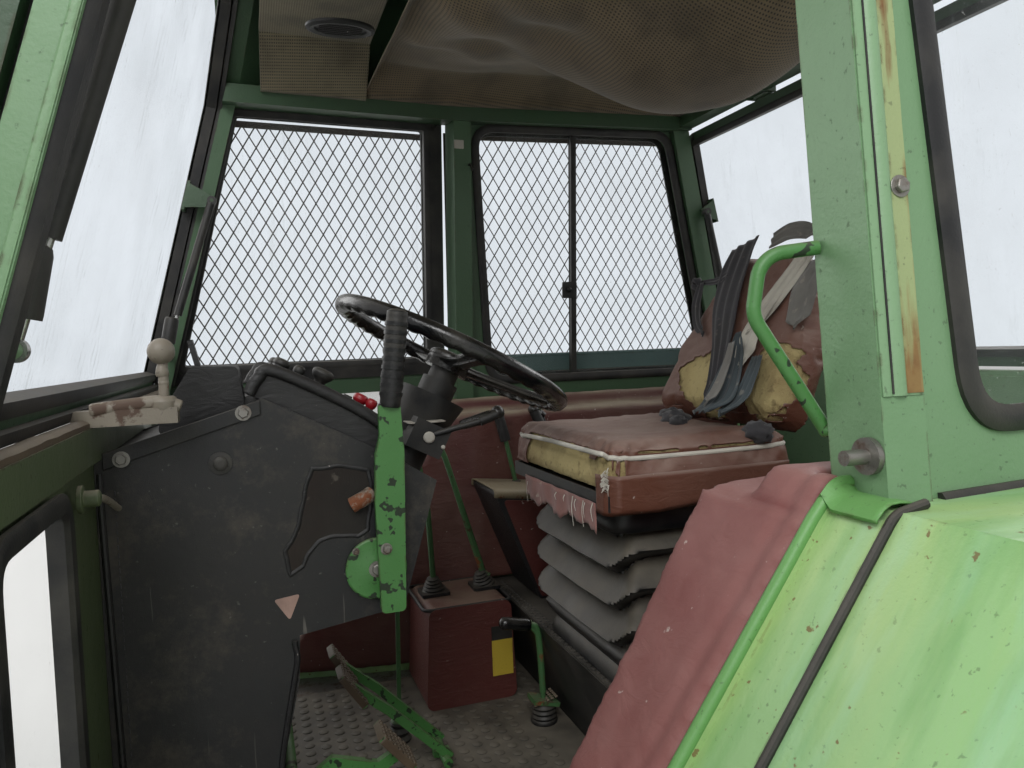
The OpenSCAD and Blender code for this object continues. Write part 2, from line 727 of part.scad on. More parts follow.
// Corners of the housing ahead of the instruments
housing = [
    [22, dash_top(pod_foot.x + 22) - pod_foot.y - 3.1], [134, dash_top(pod_foot.x + 134) - pod_foot.y - 3.1],
    [129, -16], [89, 46], [30, 44]
];

lever_foot = [660, 260, sill_top + 20];
module sill_lever() color(steel) {
    translate([0, lever_foot.y, 0])
        box([lever_foot.x - 16, front_face + 22], [-15, 15], [sill_top + 0.3, lever_foot.z]);
    bent_bar([lever_foot - [0, 0, 4], lever_foot + [-1, 0, 30], lever_foot + [-1, 0, 64]], 12);
    translate(lever_foot + [-1, 0, 68]) sphere(d = 30);
}

// Steering column and wheel, on the tilted axis through the wheel's centre
module on_column() translate([wheel_x, 0, wheel_h]) rotate([0, -column_tilt, 0]) children();

// The bell under the wheel: depth of its foot and its rim, radius of both
bell = [150, 78, 40, 57];
// Switch box beside the column, with its stalk towards the driver
switch_box = [wheel_x + 65, 46, wheel_h - 134];
module steering_column() color(black) {
    on_column() {
        translate([0, 0, -column_len]) cylinder(h = column_len - hub_drop - 20, d = column_d);
        translate([0, 0, -hub_drop - 21]) cylinder(h = 20.7, d = 50);
        translate([0, 0, -bell[0]]) cylinder(h = bell[0] - bell[1], r1 = bell[2], r2 = bell[3]);
    }
    translate(switch_box) {
        rotate([0, -column_tilt, 0]) cube([62, 60, 50], center = true);
        bent_bar([[-8, 26, 5], [-50, 38, 16], [-84, 44, 24]], 10);
        bar([-84, 44, 24], [-112, 47, 34]) circle(d = 17);
    }
}

spoke_places = [90, 180, 270];
hub_drop = 30;
module steering_wheel() color(black) on_column() {
    rotate_extrude() translate([wheel_r, 0]) circle(d = rim_d);
    translate([0, 0, -hub_drop]) cylinder(h = 26, d = 76);
    for (a = spoke_places)
        bar([20 * cos(a), 20 * sin(a), -hub_drop + 12], [wheel_r * cos(a), wheel_r * sin(a), 0])
            square([14, 22], center = true);
}

// Hand brake on the dash's left side: a flat bar on a round plate, with a ribbed grip
brake_y = dash_half_w + 34;
brake_foot = [wheel_x + 165, wheel_h - 320];
brake_bar = [
    [-17, -30], [17, -30], [19, 125], [16, 190], [9, 216], [9, 262], [-21, 262], [-24, 190], [-22, 125]
];
rib_count = 9;
module hand_brake() {
    color(green) {
        across(brake_y - 5, brake_y + 5) polygon(rounded([for (p = brake_bar) brake_foot + p], 7));
        across(dash_half_w + 0.5, dash_half_w + 7) translate(brake_foot + [17, 26]) circle(d = 84);
        across(dash_half_w + 7, brake_y - 5) translate(brake_foot) circle(d = 24);
    }
    color(black) translate([brake_foot.x - 8, brake_y, brake_foot.y + 258]) rotate([0, -7, 0]) {
        cylinder(h = 128, d = 28);
        for (i = [1 : rib_count]) translate([0, 0, i * 12]) cylinder(h = 5, d = 32);
    }
}

// Gear console and levers on the floor to the right
console_y = [4 - cover_y[0], -335];
console_x = [platform_x + 5, platform_x + 217];
console_top = floor_h + 236;
mat_top = floor_h + mat_t;
module gear_console() color(leather) across(console_y[0], console_y[1]) polygon(rounded([
    [console_x[0], mat_top + 0.3], [console_x[1], mat_top + 0.3], [console_x[1] - 14, console_top],
    [console_x[0] + 8, console_top]
], 18));

// Gear levers: foot, bend and knob
lever_paths = [
    [[170, -452, console_top], [186, -410, console_top + 225], [214, -400, console_top + 372]],
    [[46, -450, console_top], [140, -405, console_top + 324], [170, -400, console_top + 396]]
];
// Low lever in front of the platform: foot, bend and the two ends of its knob
low_lever = [[-2, -198, 0], [5, -198, 190], [24, -198, 214], [84, -198, 226]];
module boot(p) translate(p + [0, 0, 0.3]) {
    cylinder(h = 7, d = 62);
    translate([0, 0, 6.5]) cylinder(h = 16, r1 = 22, r2 = 12);
    translate([0, 0, 22]) cylinder(h = 8, r1 = 12, r2 = 17);
    translate([0, 0, 29.5]) cylinder(h = 8, r1 = 17, r2 = 8);
}
module gear_levers() {
    color(green) for (p = lever_paths) bent_bar([p[0] + [0, 0, 20], p[1], p[2]], 12);
    color(black) for (p = lever_paths) {
        boot(p[0]);
        translate(p[2]) sphere(d = 34);
    }
    translate([0, 0, mat_top]) {
        color(green) bar([300, -240, 60], [294, -240, 290]) circle(d = 9);
        color(black) translate([301, -240, 0.3]) for (i = [0 : 3]) translate([0, 0, i * 17]) {
            cylinder(h = 9, r1 = 13, r2 = 20 - i);
            translate([0, 0, 8.5]) cylinder(h = 9, r1 = 20 - i, r2 = 12);
        }
        color(green) bent_bar([low_lever[0] + [0, 0, 50], low_lever[1], low_lever[2]], 10);
        color(black) {
            bar(low_lever[2] - [2, 0, 0], low_lever[3]) circle(d = 22);
            translate(low_lever[0] + [0, 0, 0.3]) for (i = [0 : 2]) translate([0, 0, i * 14])
                cylinder(h = 14.5, r1 = 24, r2 = 18);
            translate(low_lever[0] + [0, 0, 47]) rotate([0, -14, 0]) cube([58, 46, 9], center = true);
        }
    }
}

// Console beside the seat, and its three levers: foot, bend and end, with the size of the knob
seat_console_y = -350;
seat_console = [
    [-155, platform_top + 0.5], [platform_foot, platform_top + 0.5], [platform_x + 38, platform_top + 262],
    [-112, platform_top + 244]
];
console_lever = [[-62, -490, 236], [-36, -490, 360], [-18, -490, 430]];
side_levers = [
    [[-196, -462, 6], [-122, -480, 405], [-110, -482, 432], 26],
    [[-212, -496, 6], [-140, -500, 400], [-132, -502, 424], 18]
];
module hydraulic_console() {
    color(black) across(console_y[0], seat_console_y) polygon(rounded(seat_console, 8));
    translate([0, 0, platform_top]) {
        color(green) bar(console_lever[0], console_lever[1] + [2, 0, 10]) circle(d = 10);
        color(black) bar(console_lever[1], console_lever[2]) circle(d = 26);
        for (lever = side_levers) {
            color(green) bar(lever[0], lever[1]) circle(d = 9);
            color(black) bar(lever[1] - [2, 0, 8], lever[2]) circle(d = lever[3]);
        }
        box([-240, -180], [-510, -446], [0.3, 22]);
    }
}

// Pedals: place of each pad, and the corners of its arm after that; the clutch hangs from a shaft
// in front of the dash, and the two brake pedals stand on a bracket on the floor
pad_size = [74, 58, 10];
pedal_shaft = [dash_rear(300) - 22, 300];
clutch = [372, 130, 345];
brake_pads = [[408, -112, 345], [416, -186, 358]];
brake_bracket = [236, mat_top + 14];
module pad(p, tilt) translate(p) rotate([0, -tilt, 0]) cube(pad_size, center = true);
module pedals() color(green) {
    pad(clutch, 50);
    across(clutch.y - 6, clutch.y + 6) strip([
        [clutch.x - 4, clutch.z - 2], [clutch.x + 28, clutch.z - 18], [clutch.x + 96, clutch.z + 4],
        [pedal_shaft.x + 8, pedal_shaft.y + 6]
    ], 18);
    for (p = brake_pads) {
        pad(p, 56);
        across(p.y - 6, p.y + 6) strip([
            [p.x + 8, p.z - 4], [p.x - 60, p.z - 62], [brake_bracket.x - 4, brake_bracket.y - 4]
        ], 16);
    }
    translate([brake_bracket.x, -150, brake_bracket.y]) {
        rotate([90, 0, 0]) cylinder(h = 120, d = 18, center = true);
        box([-16, 16], [-8, 8], [mat_top - brake_bracket.y + 0.3, 0]);
    }
    translate([pedal_shaft.x, 0, pedal_shaft.y]) rotate([90, 0, 0]) cylinder(h = 400, d = 20, center = true);
    for (y = [-196, 0, 196]) box([pedal_shaft.x, dash_rear(289) + 2.3], [y - 5, y + 5], [282, 296]);
}

// Seat

fold_count = 4;
bellows_foot = platform_top + 34;
fold_h = (seat_h - 1.3 - bellows_foot) / fold_count;
corners = [[-1, -1], [1, -1], [1, 1], [-1, 1]];
waist = [seat_depth - 70, 2 * seat_half_w - 130];
module seat_bellows() color(black) {
    translate([seat_x - seat_depth / 2 - 20, 0, bellows_foot]) for (i = [0 : fold_count - 1])
        translate([0, 0, i * fold_h]) fold();
    box([seat_x - seat_depth, seat_x - 30], [-waist.y, waist.y] / 2, [platform_top + 0.5, bellows_foot + 1]);
}
module fold() hull() {
    linear_extrude(1) square(waist, center = true);
    translate([0, 0, fold_h * 0.45]) linear_extrude(fold_h * 0.2)
        polygon(rounded([for (c = corners) [c.x * (seat_depth / 2 - 8), c.y * (seat_half_w - 32)]], 30));
    translate([0, 0, fold_h]) linear_extrude(1) square(waist, center = true);
}

pan_half_w = seat_half_w - 10;
pan_h = 26;
pan_t = 4;
module seat_pan() color(steel) difference() {
    box([seat_x - seat_depth, seat_x - 6], [-pan_half_w, pan_half_w], [seat_h, seat_h + pan_h]);
    box([seat_x - seat_depth - 1, seat_x - 6 - pan_t], [pan_t - pan_half_w, pan_half_w - pan_t],
        [seat_h + pan_t, seat_h + pan_h + 1]);
}

cushion_t = 74;
cushion_foot = seat_h + pan_h + 0.5;
module seat_cushion() color(leather)
    translate([seat_x - seat_depth / 2 + 4, 0, cushion_foot]) linear_extrude(cushion_t)
        polygon(rounded([for (c = corners) [c.x * (seat_depth / 2 - 6), c.y * seat_half_w]], 36));

back_t = 74;
back_len = 366;
// Half widths of the back from its foot up: height, half width
back_widths = [
    [0, seat_half_w - 24], [150, seat_half_w - 22], [280, seat_half_w - 74], [back_len, seat_half_w - 150]
];
// The back leans over the cushion's rear edge and rests on it
cushion_rear = seat_x - seat_depth + 10;
back_x = cushion_rear + 34;
back_foot = [back_x, cushion_foot + cushion_t + 0.3 + (back_x - cushion_rear) * tan(back_lean)];
module seat_back() color(leather)
    translate([back_foot.x, 0, back_foot.y]) rotate([0, -back_lean, 0]) rotate([90, 0, 90])
        translate([0, 0, -back_t]) linear_extrude(back_t) polygon(rounded([
            for (w = back_widths) [w[1], w[0]],
            for (w = reversed(back_widths)) [-w[1], w[0]]
        ], 44));

// Points of the grab handle, from the middle post's front face to its inner face
handle_path = [
    [b_x - 2.8, 690, belt_h + 156], [b_x + 52, 674, belt_h + 150], [b_x + 62, 673, belt_h + 92],
    [b_x - 14, 684, belt_h - 24], [b_x - 14, 697.4, belt_h - 24]
];
module grab_handle() color(green) {
    pipe([for (i = [0 : 3]) handle_path[i]], 14, 30);
    translate(handle_path[3]) sphere(d = 14.8);
    bar(handle_path[3], handle_path[4]) circle(d = 14);
}

striker_z = belt_h - 40;
module strikers() color(steel) both_sides() {
    translate([b_x + 0.3, b_half_w - 14, striker_z]) rotate([0, 90, 0]) {
        cylinder(h = 6, d = 34);
        cylinder(h = 30, d = 14);
    }
}

// Doors, drawn on the left side as closed

hinge_x = front_x + 12;
hinge_y = a_half_w + 14;
hinge_rows = [-610, -80];
door_upper = [
    [door_gap, 0], [door_front, 0], [door_front - a_lean, door_top], [door_gap, door_top]
];
door_heel = [slope_s(floor_h - 20) + 26, post_foot - 20];
door_lower = [
    door_heel, [door_front, door_heel.y], [door_front, 0], [door_gap, 0],
    [door_gap, door_heel.y + (door_heel.x - door_gap) * tan(fender_slope)]
];
door_out = door_t + 6;
// The frame's top rail is slimmer than its other three sides
door_rail = 18;
upper_opening = [for (p = inset(door_upper, door_w)) p.y < side_h / 2 ? p
    : [p.x < side_h / 2 ? p.x : p.x - (door_w - door_rail) * door_rake, door_top - door_rail]];
lower_line = [
    door_heel, [door_front, door_heel.y], [door_front, 0], [door_heel.x + door_heel.y / tan(fender_slope), 0]
];
lower_opening = inset(lower_line, door_w);
module door_frame() {
    difference() {
        union() {
            upper_front(door_t, door_out) polygon(door_upper);
            lower_front(door_t, door_out) polygon(door_lower);
        }
        upper_front(door_t + 20, door_out + 10) polygon(rounded(upper_opening, 24));
        lower_front(door_t + 20, door_out + 10) polygon(rounded(lower_opening, 30));
        translate([b_x, b_half_w, striker_z]) rotate([0, 90, 0]) cylinder(h = 44, d = 44);
    }
}
module door_hinges() for (h = hinge_rows) translate([hinge_x, hinge_y, belt_h + h]) {
    difference() {
        union() {
            cylinder(h = 60, d = 24);
            translate([-50, -8, 5]) cube([50, 16, 50]);
        }
        translate([0, 0, -1]) cylinder(h = 62, d = 12.1);
    }
}
module door_panes() {
    upper_front(glass_t, door_out - 14) polygon(rounded(inset(upper_opening, 0.3), 24));
    lower_front(glass_t, door_out - 14) polygon(rounded(inset(lower_line, door_w + 0.3), 30));
}

// Brackets and pins on the front posts that carry the doors, and studs that carry the struts' rods
module hinge_brackets() color(green) both_sides() {
    for (h = hinge_rows) translate([0, 0, belt_h + h]) {
        translate([hinge_x, hinge_y, -14]) cylinder(h = 88, d = 12);
        for (z = [-15, 61]) box([front_x + 0.2, hinge_x + 10], [a_half_w - 34, hinge_y + 8], [z, z + 14]);
    }
    translate([screen_pin.x, screen_strut_y + 6, screen_pin.y]) rotate([-90, 0, 0])
        cylinder(h = a_half_w - a_post_t - screen_strut_y - 12.4, d = 14);
    translate([rear_pin.x, rear_strut_y + 6, rear_pin.y]) rotate([-90, 0, 0])
        cylinder(h = c_half_w - post_t - rear_strut_y - 12, d = 14);
}

module swung() translate([hinge_x, hinge_y, 0]) rotate([0, 0, -door_open])
    translate([-hinge_x, -hinge_y, 0]) children();

module left_door() color(green) swung() { door_frame(); door_hinges(); }
module left_door_glass() color(clear) swung() door_panes();
module right_door() color(green) mirror([0, 1, 0]) { door_frame(); door_hinges(); }
module right_door_glass() color(clear) mirror([0, 1, 0]) door_panes();
module right_guard() color("#5b4636") mirror([0, 1, 0]) {
    upper_front(4, guard_out + door_out) guard_panel(guard_front);
    for (p = door_standoffs) upper_front(guard_out - 3.3, guard_out + door_out - 3)
        translate(p) circle(d = 16);
}

// Windscreen and rear window, each drawn in its own slanted plane: across and up from the sill.
// Both hang from hinges along their top edges, and a strut on each side holds them open.

hinge_pin = 8;
hinge_bore = 8.1;
hinge_len = 60;
screen_hinges = [250];
rear_hinges = [300];
screen_strut_y = 600;
rear_strut_y = 590;
hinge_up = 12;
rear_eye_drop = 226;
tube_d = 18;
screen_tube_len = 275;
rear_tube_len = 205;
rod_d = 8;
eye_d = 20;

screen_foot = [front_x + 6, 0, sill_top + 12];
screen_len = (window_top + arch_rise - screen_foot.z) / cos(screen_slope);
screen_kink = (window_top - screen_foot.z) / cos(screen_slope);
screen_line = [
    [-a_half_w + 6, 0], [a_half_w - 6, 0], [a_top.y + 14, screen_kink], [arch_half_w + 10, screen_len],
    [-arch_half_w - 10, screen_len], [-a_top.y - 14, screen_kink]
];
frame_w = 26;
frame_t = 18;
// Place in x and z of a point of the windscreen, up from its foot and out from its inner face
function screen_point(up, out) = [
    screen_foot.x - up * sin(screen_slope) + out * cos(screen_slope),
    screen_foot.z + up * cos(screen_slope) + out * sin(screen_slope)
];
eye_drop = 430;
eye_in = 42;
screen_top = screen_point(screen_len + hinge_up, 6);
screen_eye = screen_point(screen_len - eye_drop, -eye_in);
screen_pin = [front_x - 37, belt_h + 82];

rear_slope = atan2(c_lean * cos(rear_taper), window_h);
rear_foot = [rear_x - 4, 0, sill_top + 6];
rear_len = (window_h - 6) / cos(rear_slope);
rear_line = [
    [-c_half_w + 10, 0], [c_half_w - 10, 0], [c_top.y + 14, rear_len], [-c_top.y - 14, rear_len]
];
// Place in x and z of a point of the rear window, up from its foot and out from its inner face
function rear_point(up, out) = [
    rear_foot.x + up * sin(rear_slope) - out * cos(rear_slope),
    rear_foot.z + up * cos(rear_slope) + out * sin(rear_slope)
];
rear_top = rear_point(rear_len + hinge_up, 6);
rear_eye = rear_point(rear_len - rear_eye_drop, -22);
rear_pin = [rear_x + 36, belt_h + 82];

module on_screen(t, d = 0) {
    translate(screen_foot) rotate([0, -screen_slope, 0]) rotate([90, 0, 90]) translate([0, 0, d])
        linear_extrude(t) children();
}
module on_rear(t, d = 0) {
    translate(rear_foot) rotate([0, rear_slope, 0]) rotate([90, 0, 90]) translate([0, 0, -d - t])
        linear_extrude(t) children();
}

// A barrel of the window's hinge at each of the places y
module barrels(p, places) for (y = places) translate([p.x, y - hinge_len / 2, p.y]) rotate([-90, 0, 0])
    cylinder(h = hinge_len, d = 20);
module barrel_bores(p, places) for (y = places) translate([p.x, y - hinge_len / 2 - 1, p.y])
    rotate([-90, 0, 0]) cylinder(h = hinge_len + 2, d = hinge_bore);
// The stud on a window's bracket that carries the strut's eye
module eye_stud(eye, y) translate([eye.x, y - 8, eye.y]) rotate([-90, 0, 0]) cylinder(h = 26, d = hinge_pin);

// Brackets of a window at its struts' eyes: a foot on the frame, a gusset and a stud
module windscreen() color(dark_green) {
    on_screen(frame_t) difference() {
        polygon(rounded(screen_line, 30));
        polygon(rounded(inset(screen_line, frame_w), 24));
    }
    both_sides() {
        difference() {
            union() {
                barrels(screen_top, screen_hinges);
                for (y = screen_hinges) on_screen(8, 2) translate([y - hinge_len / 2, screen_len - 4])
                    square([hinge_len, hinge_up - 6]);
            }
            barrel_bores(screen_top, screen_hinges);
        }
        on_screen(6, 12) translate([screen_strut_y + 12, screen_len - eye_drop - 34]) square([54, 68]);
        across(screen_strut_y + 12, screen_strut_y + 18) polygon([
            screen_point(screen_len - eye_drop - 30, 18), screen_point(screen_len - eye_drop + 30, 18),
            screen_point(screen_len - eye_drop + 10, -eye_in - 8),
            screen_point(screen_len - eye_drop - 10, -eye_in - 8)
        ]);
        eye_stud(screen_eye, screen_strut_y);
    }
}
module windscreen_glass() color(clear) on_screen(glass_t, frame_t + 0.3)
    polygon(rounded(inset(screen_line, 8), 24));

module rear_window() color(dark_green) {
    on_rear(frame_t) difference() {
        polygon(rounded(rear_line, 40));
        polygon(rounded(inset(rear_line, frame_w), 30));
    }
    both_sides() {
        difference() {
            union() {
                barrels(rear_top, rear_hinges);
                for (y = rear_hinges) on_rear(8, 2) translate([y - hinge_len / 2, rear_len - 4])
                    square([hinge_len, hinge_up - 6]);
            }
            barrel_bores(rear_top, rear_hinges);
        }
        on_rear(6, 12) translate([rear_strut_y + 12, rear_len - rear_eye_drop - 34]) square([54, 68]);
        across(rear_strut_y + 12, rear_strut_y + 18) polygon([
            rear_point(rear_len - rear_eye_drop - 30, 18), rear_point(rear_len - rear_eye_drop + 30, 18),
            rear_point(rear_len - rear_eye_drop + 10, -30), rear_point(rear_len - rear_eye_drop - 10, -30)
        ]);
        eye_stud(rear_eye, rear_strut_y);
    }
}
module rear_window_glass() color(clear) on_rear(glass_t, frame_t + 0.3)
    polygon(rounded(inset(rear_line, 8), 36));

// A strut's tube hangs from the eye, with its bore open towards the pin
module strut_tube(eye, pin, y, tube_len) {
    reach = unit([pin.x - eye.x, 0, pin.y - eye.y]);
    foot_at = [eye.x, y, eye.y];
    difference() {
        union() {
            bar(foot_at + reach * 6, foot_at + reach * tube_len) circle(d = tube_d);
            translate([eye.x, y - 8, eye.y]) rotate([-90, 0, 0]) cylinder(h = 16, d = eye_d);
        }
        translate([eye.x, y - 9, eye.y]) rotate([-90, 0, 0]) cylinder(h = 18, d = hinge_bore);
        bar(foot_at + reach * 20, foot_at + reach * (tube_len + 1)) circle(d = rod_d + 0.1);
    }
}
// Its rod runs in the tube and ends in an eye beside the stud on the post
module strut_rod(eye, pin, y) {
    reach = unit([pin.x - eye.x, 0, pin.y - eye.y]);
    end = [pin.x, y, pin.y];
    inside = [eye.x, y, eye.y] + reach * 40;
    bar(inside, end - reach * 6) circle(d = rod_d);
    translate(end - [0, 5, 0]) rotate([-90, 0, 0]) cylinder(h = 10.5, d = eye_d);
}
module screen_tubes() color(black) both_sides()
    strut_tube(screen_eye, screen_pin, screen_strut_y, screen_tube_len);
module screen_rods() color(steel) both_sides() strut_rod(screen_eye, screen_pin, screen_strut_y);
module rear_tubes() color(black) both_sides() strut_tube(rear_eye, rear_pin, rear_strut_y, rear_tube_len);
module rear_rods() color(steel) both_sides() strut_rod(rear_eye, rear_pin, rear_strut_y);

base_frame();
cab_mounts();
floor_plate();
floor_mat();
seat_platform();
fender_left();
fender_right();
cover_left();
cover_right();
posts();
roof_frame();
front_wall();
lower_glass();
rear_wall();
quarter_panels();
quarter_glass();
roof_shell();
headliner();
ceiling_board();
rear_guard();
dash_body();
dash_panels();
instrument_panel();
sill_lever();
steering_column();
hand_brake();
gear_console();
gear_levers();
hydraulic_console();
pedals();
seat_bellows();
seat_pan();
seat_cushion();
seat_back();
grab_handle();
strikers();
hinge_brackets();
steering_wheel();
left_door();
left_door_glass();
right_door();
right_door_glass();
right_guard();
windscreen();
windscreen_glass();
screen_tubes();
screen_rods();
rear_window();
rear_window_glass();
rear_tubes();
rear_rods();
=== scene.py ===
"""Looks of the tractor cab: finishes, soft goods, guards, seals and small fittings."""

import math

import bmesh
import bpy
import numpy as np
from mathutils import Matrix, Vector, noise
from mathutils.bvhtree import BVHTree


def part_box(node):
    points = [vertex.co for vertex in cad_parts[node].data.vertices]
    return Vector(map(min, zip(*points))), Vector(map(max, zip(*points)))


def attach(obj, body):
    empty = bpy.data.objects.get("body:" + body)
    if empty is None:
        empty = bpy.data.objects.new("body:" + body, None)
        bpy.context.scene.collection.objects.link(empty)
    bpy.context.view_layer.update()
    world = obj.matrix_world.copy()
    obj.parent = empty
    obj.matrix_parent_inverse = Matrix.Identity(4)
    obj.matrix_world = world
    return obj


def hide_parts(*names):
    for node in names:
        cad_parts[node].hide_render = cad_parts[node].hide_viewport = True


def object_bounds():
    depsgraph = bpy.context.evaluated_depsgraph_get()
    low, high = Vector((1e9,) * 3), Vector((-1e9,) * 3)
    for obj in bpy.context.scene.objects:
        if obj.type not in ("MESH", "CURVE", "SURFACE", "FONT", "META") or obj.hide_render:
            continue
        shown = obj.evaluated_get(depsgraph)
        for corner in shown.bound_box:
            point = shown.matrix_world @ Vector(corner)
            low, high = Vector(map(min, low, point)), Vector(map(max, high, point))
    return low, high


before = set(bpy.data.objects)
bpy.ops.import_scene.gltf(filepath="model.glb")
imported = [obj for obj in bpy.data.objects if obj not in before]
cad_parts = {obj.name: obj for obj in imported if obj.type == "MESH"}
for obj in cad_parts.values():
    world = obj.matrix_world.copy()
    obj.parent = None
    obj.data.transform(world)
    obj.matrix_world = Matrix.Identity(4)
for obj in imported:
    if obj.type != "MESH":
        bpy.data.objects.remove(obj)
cad_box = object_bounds()
scene = bpy.context.scene
scene.view_settings.view_transform = "Standard"
MM = 0.001

# Camera at the photograph's place and angle

PHOTO_WIDTH = 1024
FOCAL_PIXELS = 764.3
SENSOR = 36.0
CAMERA_PLACE = Vector((0.56, 1.30, 0.96))
CAMERA_RIGHT = Vector((-0.944, 0.328, -0.037))
CAMERA_AHEAD = Vector((-0.326, -0.944, -0.048))


def make_camera():
    data = bpy.data.cameras.new("camera")
    data.sensor_width = SENSOR
    data.lens = FOCAL_PIXELS / PHOTO_WIDTH * SENSOR
    data.clip_start = 0.02
    camera = bpy.data.objects.new("camera", data)
    scene.collection.objects.link(camera)
    back = -CAMERA_AHEAD.normalized()
    up = back.cross(CAMERA_RIGHT).normalized()
    right = up.cross(back)
    turn = Matrix((right, up, back)).transposed()
    camera.matrix_world = Matrix.Translation(CAMERA_PLACE) @ turn.to_4x4()
    scene.camera = camera


make_camera()

# Driving places of the cab in millimetres, the same as in the model

B_X, B_HALF, BELT = 32, 770, 890
WINDOW_H, RAIL_H = 668, 42
TUMBLE, FRONT, REAR = math.radians(5.1), math.radians(-3.6), math.radians(4.3)
SIDE_H = WINDOW_H / math.cos(TUMBLE)
A_REACH, A_LEAN, A_POST = 709, 179, 30
C_REACH, C_LEAN = 800, 148
MAT_TOP, PLATFORM_TOP = 159, 370
FENDER_H, SLOPE = 808, math.radians(53.4)
FENDER_FRONT = B_X + 12
FRONT_X = B_X + (A_REACH + A_POST) * math.cos(FRONT)
A_HALF = B_HALF + (A_REACH + A_POST) * math.sin(FRONT)
DOOR_OUT = 40


def on_side(plane, s, h, out=0.0, hand=1, lean=TUMBLE):
    """A point of a side wall: s forward of the middle post, h above the belt, out from its face."""
    y = out * math.cos(lean) - h * math.sin(lean)
    z = h * math.cos(lean) + out * math.sin(lean)
    x = s * math.cos(plane) - y * math.sin(plane)
    y = s * math.sin(plane) + y * math.cos(plane)
    return Vector((B_X + x, hand * (B_HALF + y), BELT + z))


SCREEN_SLOPE = math.radians(15)
SCREEN_FOOT = Vector((FRONT_X + 6, 0, BELT + 4))


def outward(plane, hand, s=0, h=0):
    """The direction out of a side wall."""
    return on_side(plane, s, h, 1, hand) - on_side(plane, s, h, 0, hand)


def on_screen(y, up, out=0.0):
    """A point of the windscreen: across, up from its foot and out from its inner face."""
    sin, cos = math.sin(SCREEN_SLOPE), math.cos(SCREEN_SLOPE)
    return SCREEN_FOOT + Vector((out * cos - up * sin, y, up * cos + out * sin))


REAR_SLOPE = math.atan2(C_LEAN * math.cos(REAR), WINDOW_H)
REAR_X = B_X - C_REACH * math.cos(REAR) - 48
REAR_FOOT = Vector((REAR_X - 4, 0, BELT - 2))


def on_rear(y, up, out=0.0):
    """A point of the rear window: across, up from its foot and out from its inner face."""
    sin, cos = math.sin(REAR_SLOPE), math.cos(REAR_SLOPE)
    return REAR_FOOT + Vector((up * sin - out * cos, y, up * cos + out * sin))


def on_wall(plane, hand):
    """Puts a flat outline on a side wall."""
    return lambda s, h, out=0.0: on_side(plane, s, h, out, hand)


def level(z):
    """Puts a flat outline on a level plane at a height."""
    return lambda x, y, out=0.0: Vector((x, y, z + out))


def across_at(y):
    """Puts a flat outline of (x, z) on an upright plane at a place across the cab."""
    return lambda x, z, out=0.0: Vector((x, y + out, z))


# Outlines, in two dimensions


def rounded(points, radius, steps=6):
    """Points of a closed outline with each corner rounded."""
    result = []
    count = len(points)
    for i in range(count):
        p = Vector(points[i])
        u = (Vector(points[i - 1]) - p).normalized()
        v = (Vector(points[(i + 1) % count]) - p).normalized()
        half = u.angle(v) / 2
        reach = radius / math.tan(half)
        a, b = p + u * reach, p + v * reach
        for k in range(steps + 1):
            t = k / steps
            result.append(a * (1 - t) ** 2 + p * 2 * t * (1 - t) + b * t**2)
    return result


def inset(points, width):
    """Points of an anticlockwise outline moved inward."""
    result = []
    count = len(points)
    for i in range(count):
        p = Vector(points[i])
        u = (p - Vector(points[i - 1])).normalized()
        v = (Vector(points[(i + 1) % count]) - p).normalized()
        n = Vector((-u.y - v.y, u.x + v.x)).normalized()
        result.append(p + n * width / n.dot(Vector((-u.y, u.x))))
    return result


def curve(points, steps=8):
    """A smooth line through the points."""
    p = [Vector(q) for q in points]
    p = [p[0] * 2 - p[1], *p, p[-1] * 2 - p[-2]]
    line = []
    for i in range(1, len(p) - 2):
        for k in range(steps):
            t = k / steps
            a, b, c, d = p[i - 1], p[i], p[i + 1], p[i + 2]
            line.append(0.5 * (2 * b + (c - a) * t + (2 * a - 5 * b + 4 * c - d) * t**2
                               + (3 * b - a - 3 * c + d) * t**3))
    return [*line, p[-2]]


def bends(points, radius, steps=6):
    """An open line with its inner corners rounded."""
    line = [Vector(points[0])]
    for i in range(1, len(points) - 1):
        p = Vector(points[i])
        u = (Vector(points[i - 1]) - p).normalized()
        v = (Vector(points[i + 1]) - p).normalized()
        reach = radius / math.tan(u.angle(v) / 2)
        a, b = p + u * reach, p + v * reach
        line += [a * (1 - t) ** 2 + p * 2 * t * (1 - t) + b * t**2
                 for t in (k / steps for k in range(steps + 1))]
    return [*line, Vector(points[-1])]


def rough(x, y=0.0, z=0.0, scale=1.0):
    """Smooth noise from about -1 to 1 at a place in millimetres."""
    return noise.noise(Vector((x, y, z)) * scale * MM)


def around(count):
    """Angles in even steps round a circle."""
    return np.linspace(0, 2 * math.pi, count, endpoint=False)


def circle(radius, sides=12):
    return [(radius * math.cos(a), radius * math.sin(a)) for a in around(sides)]


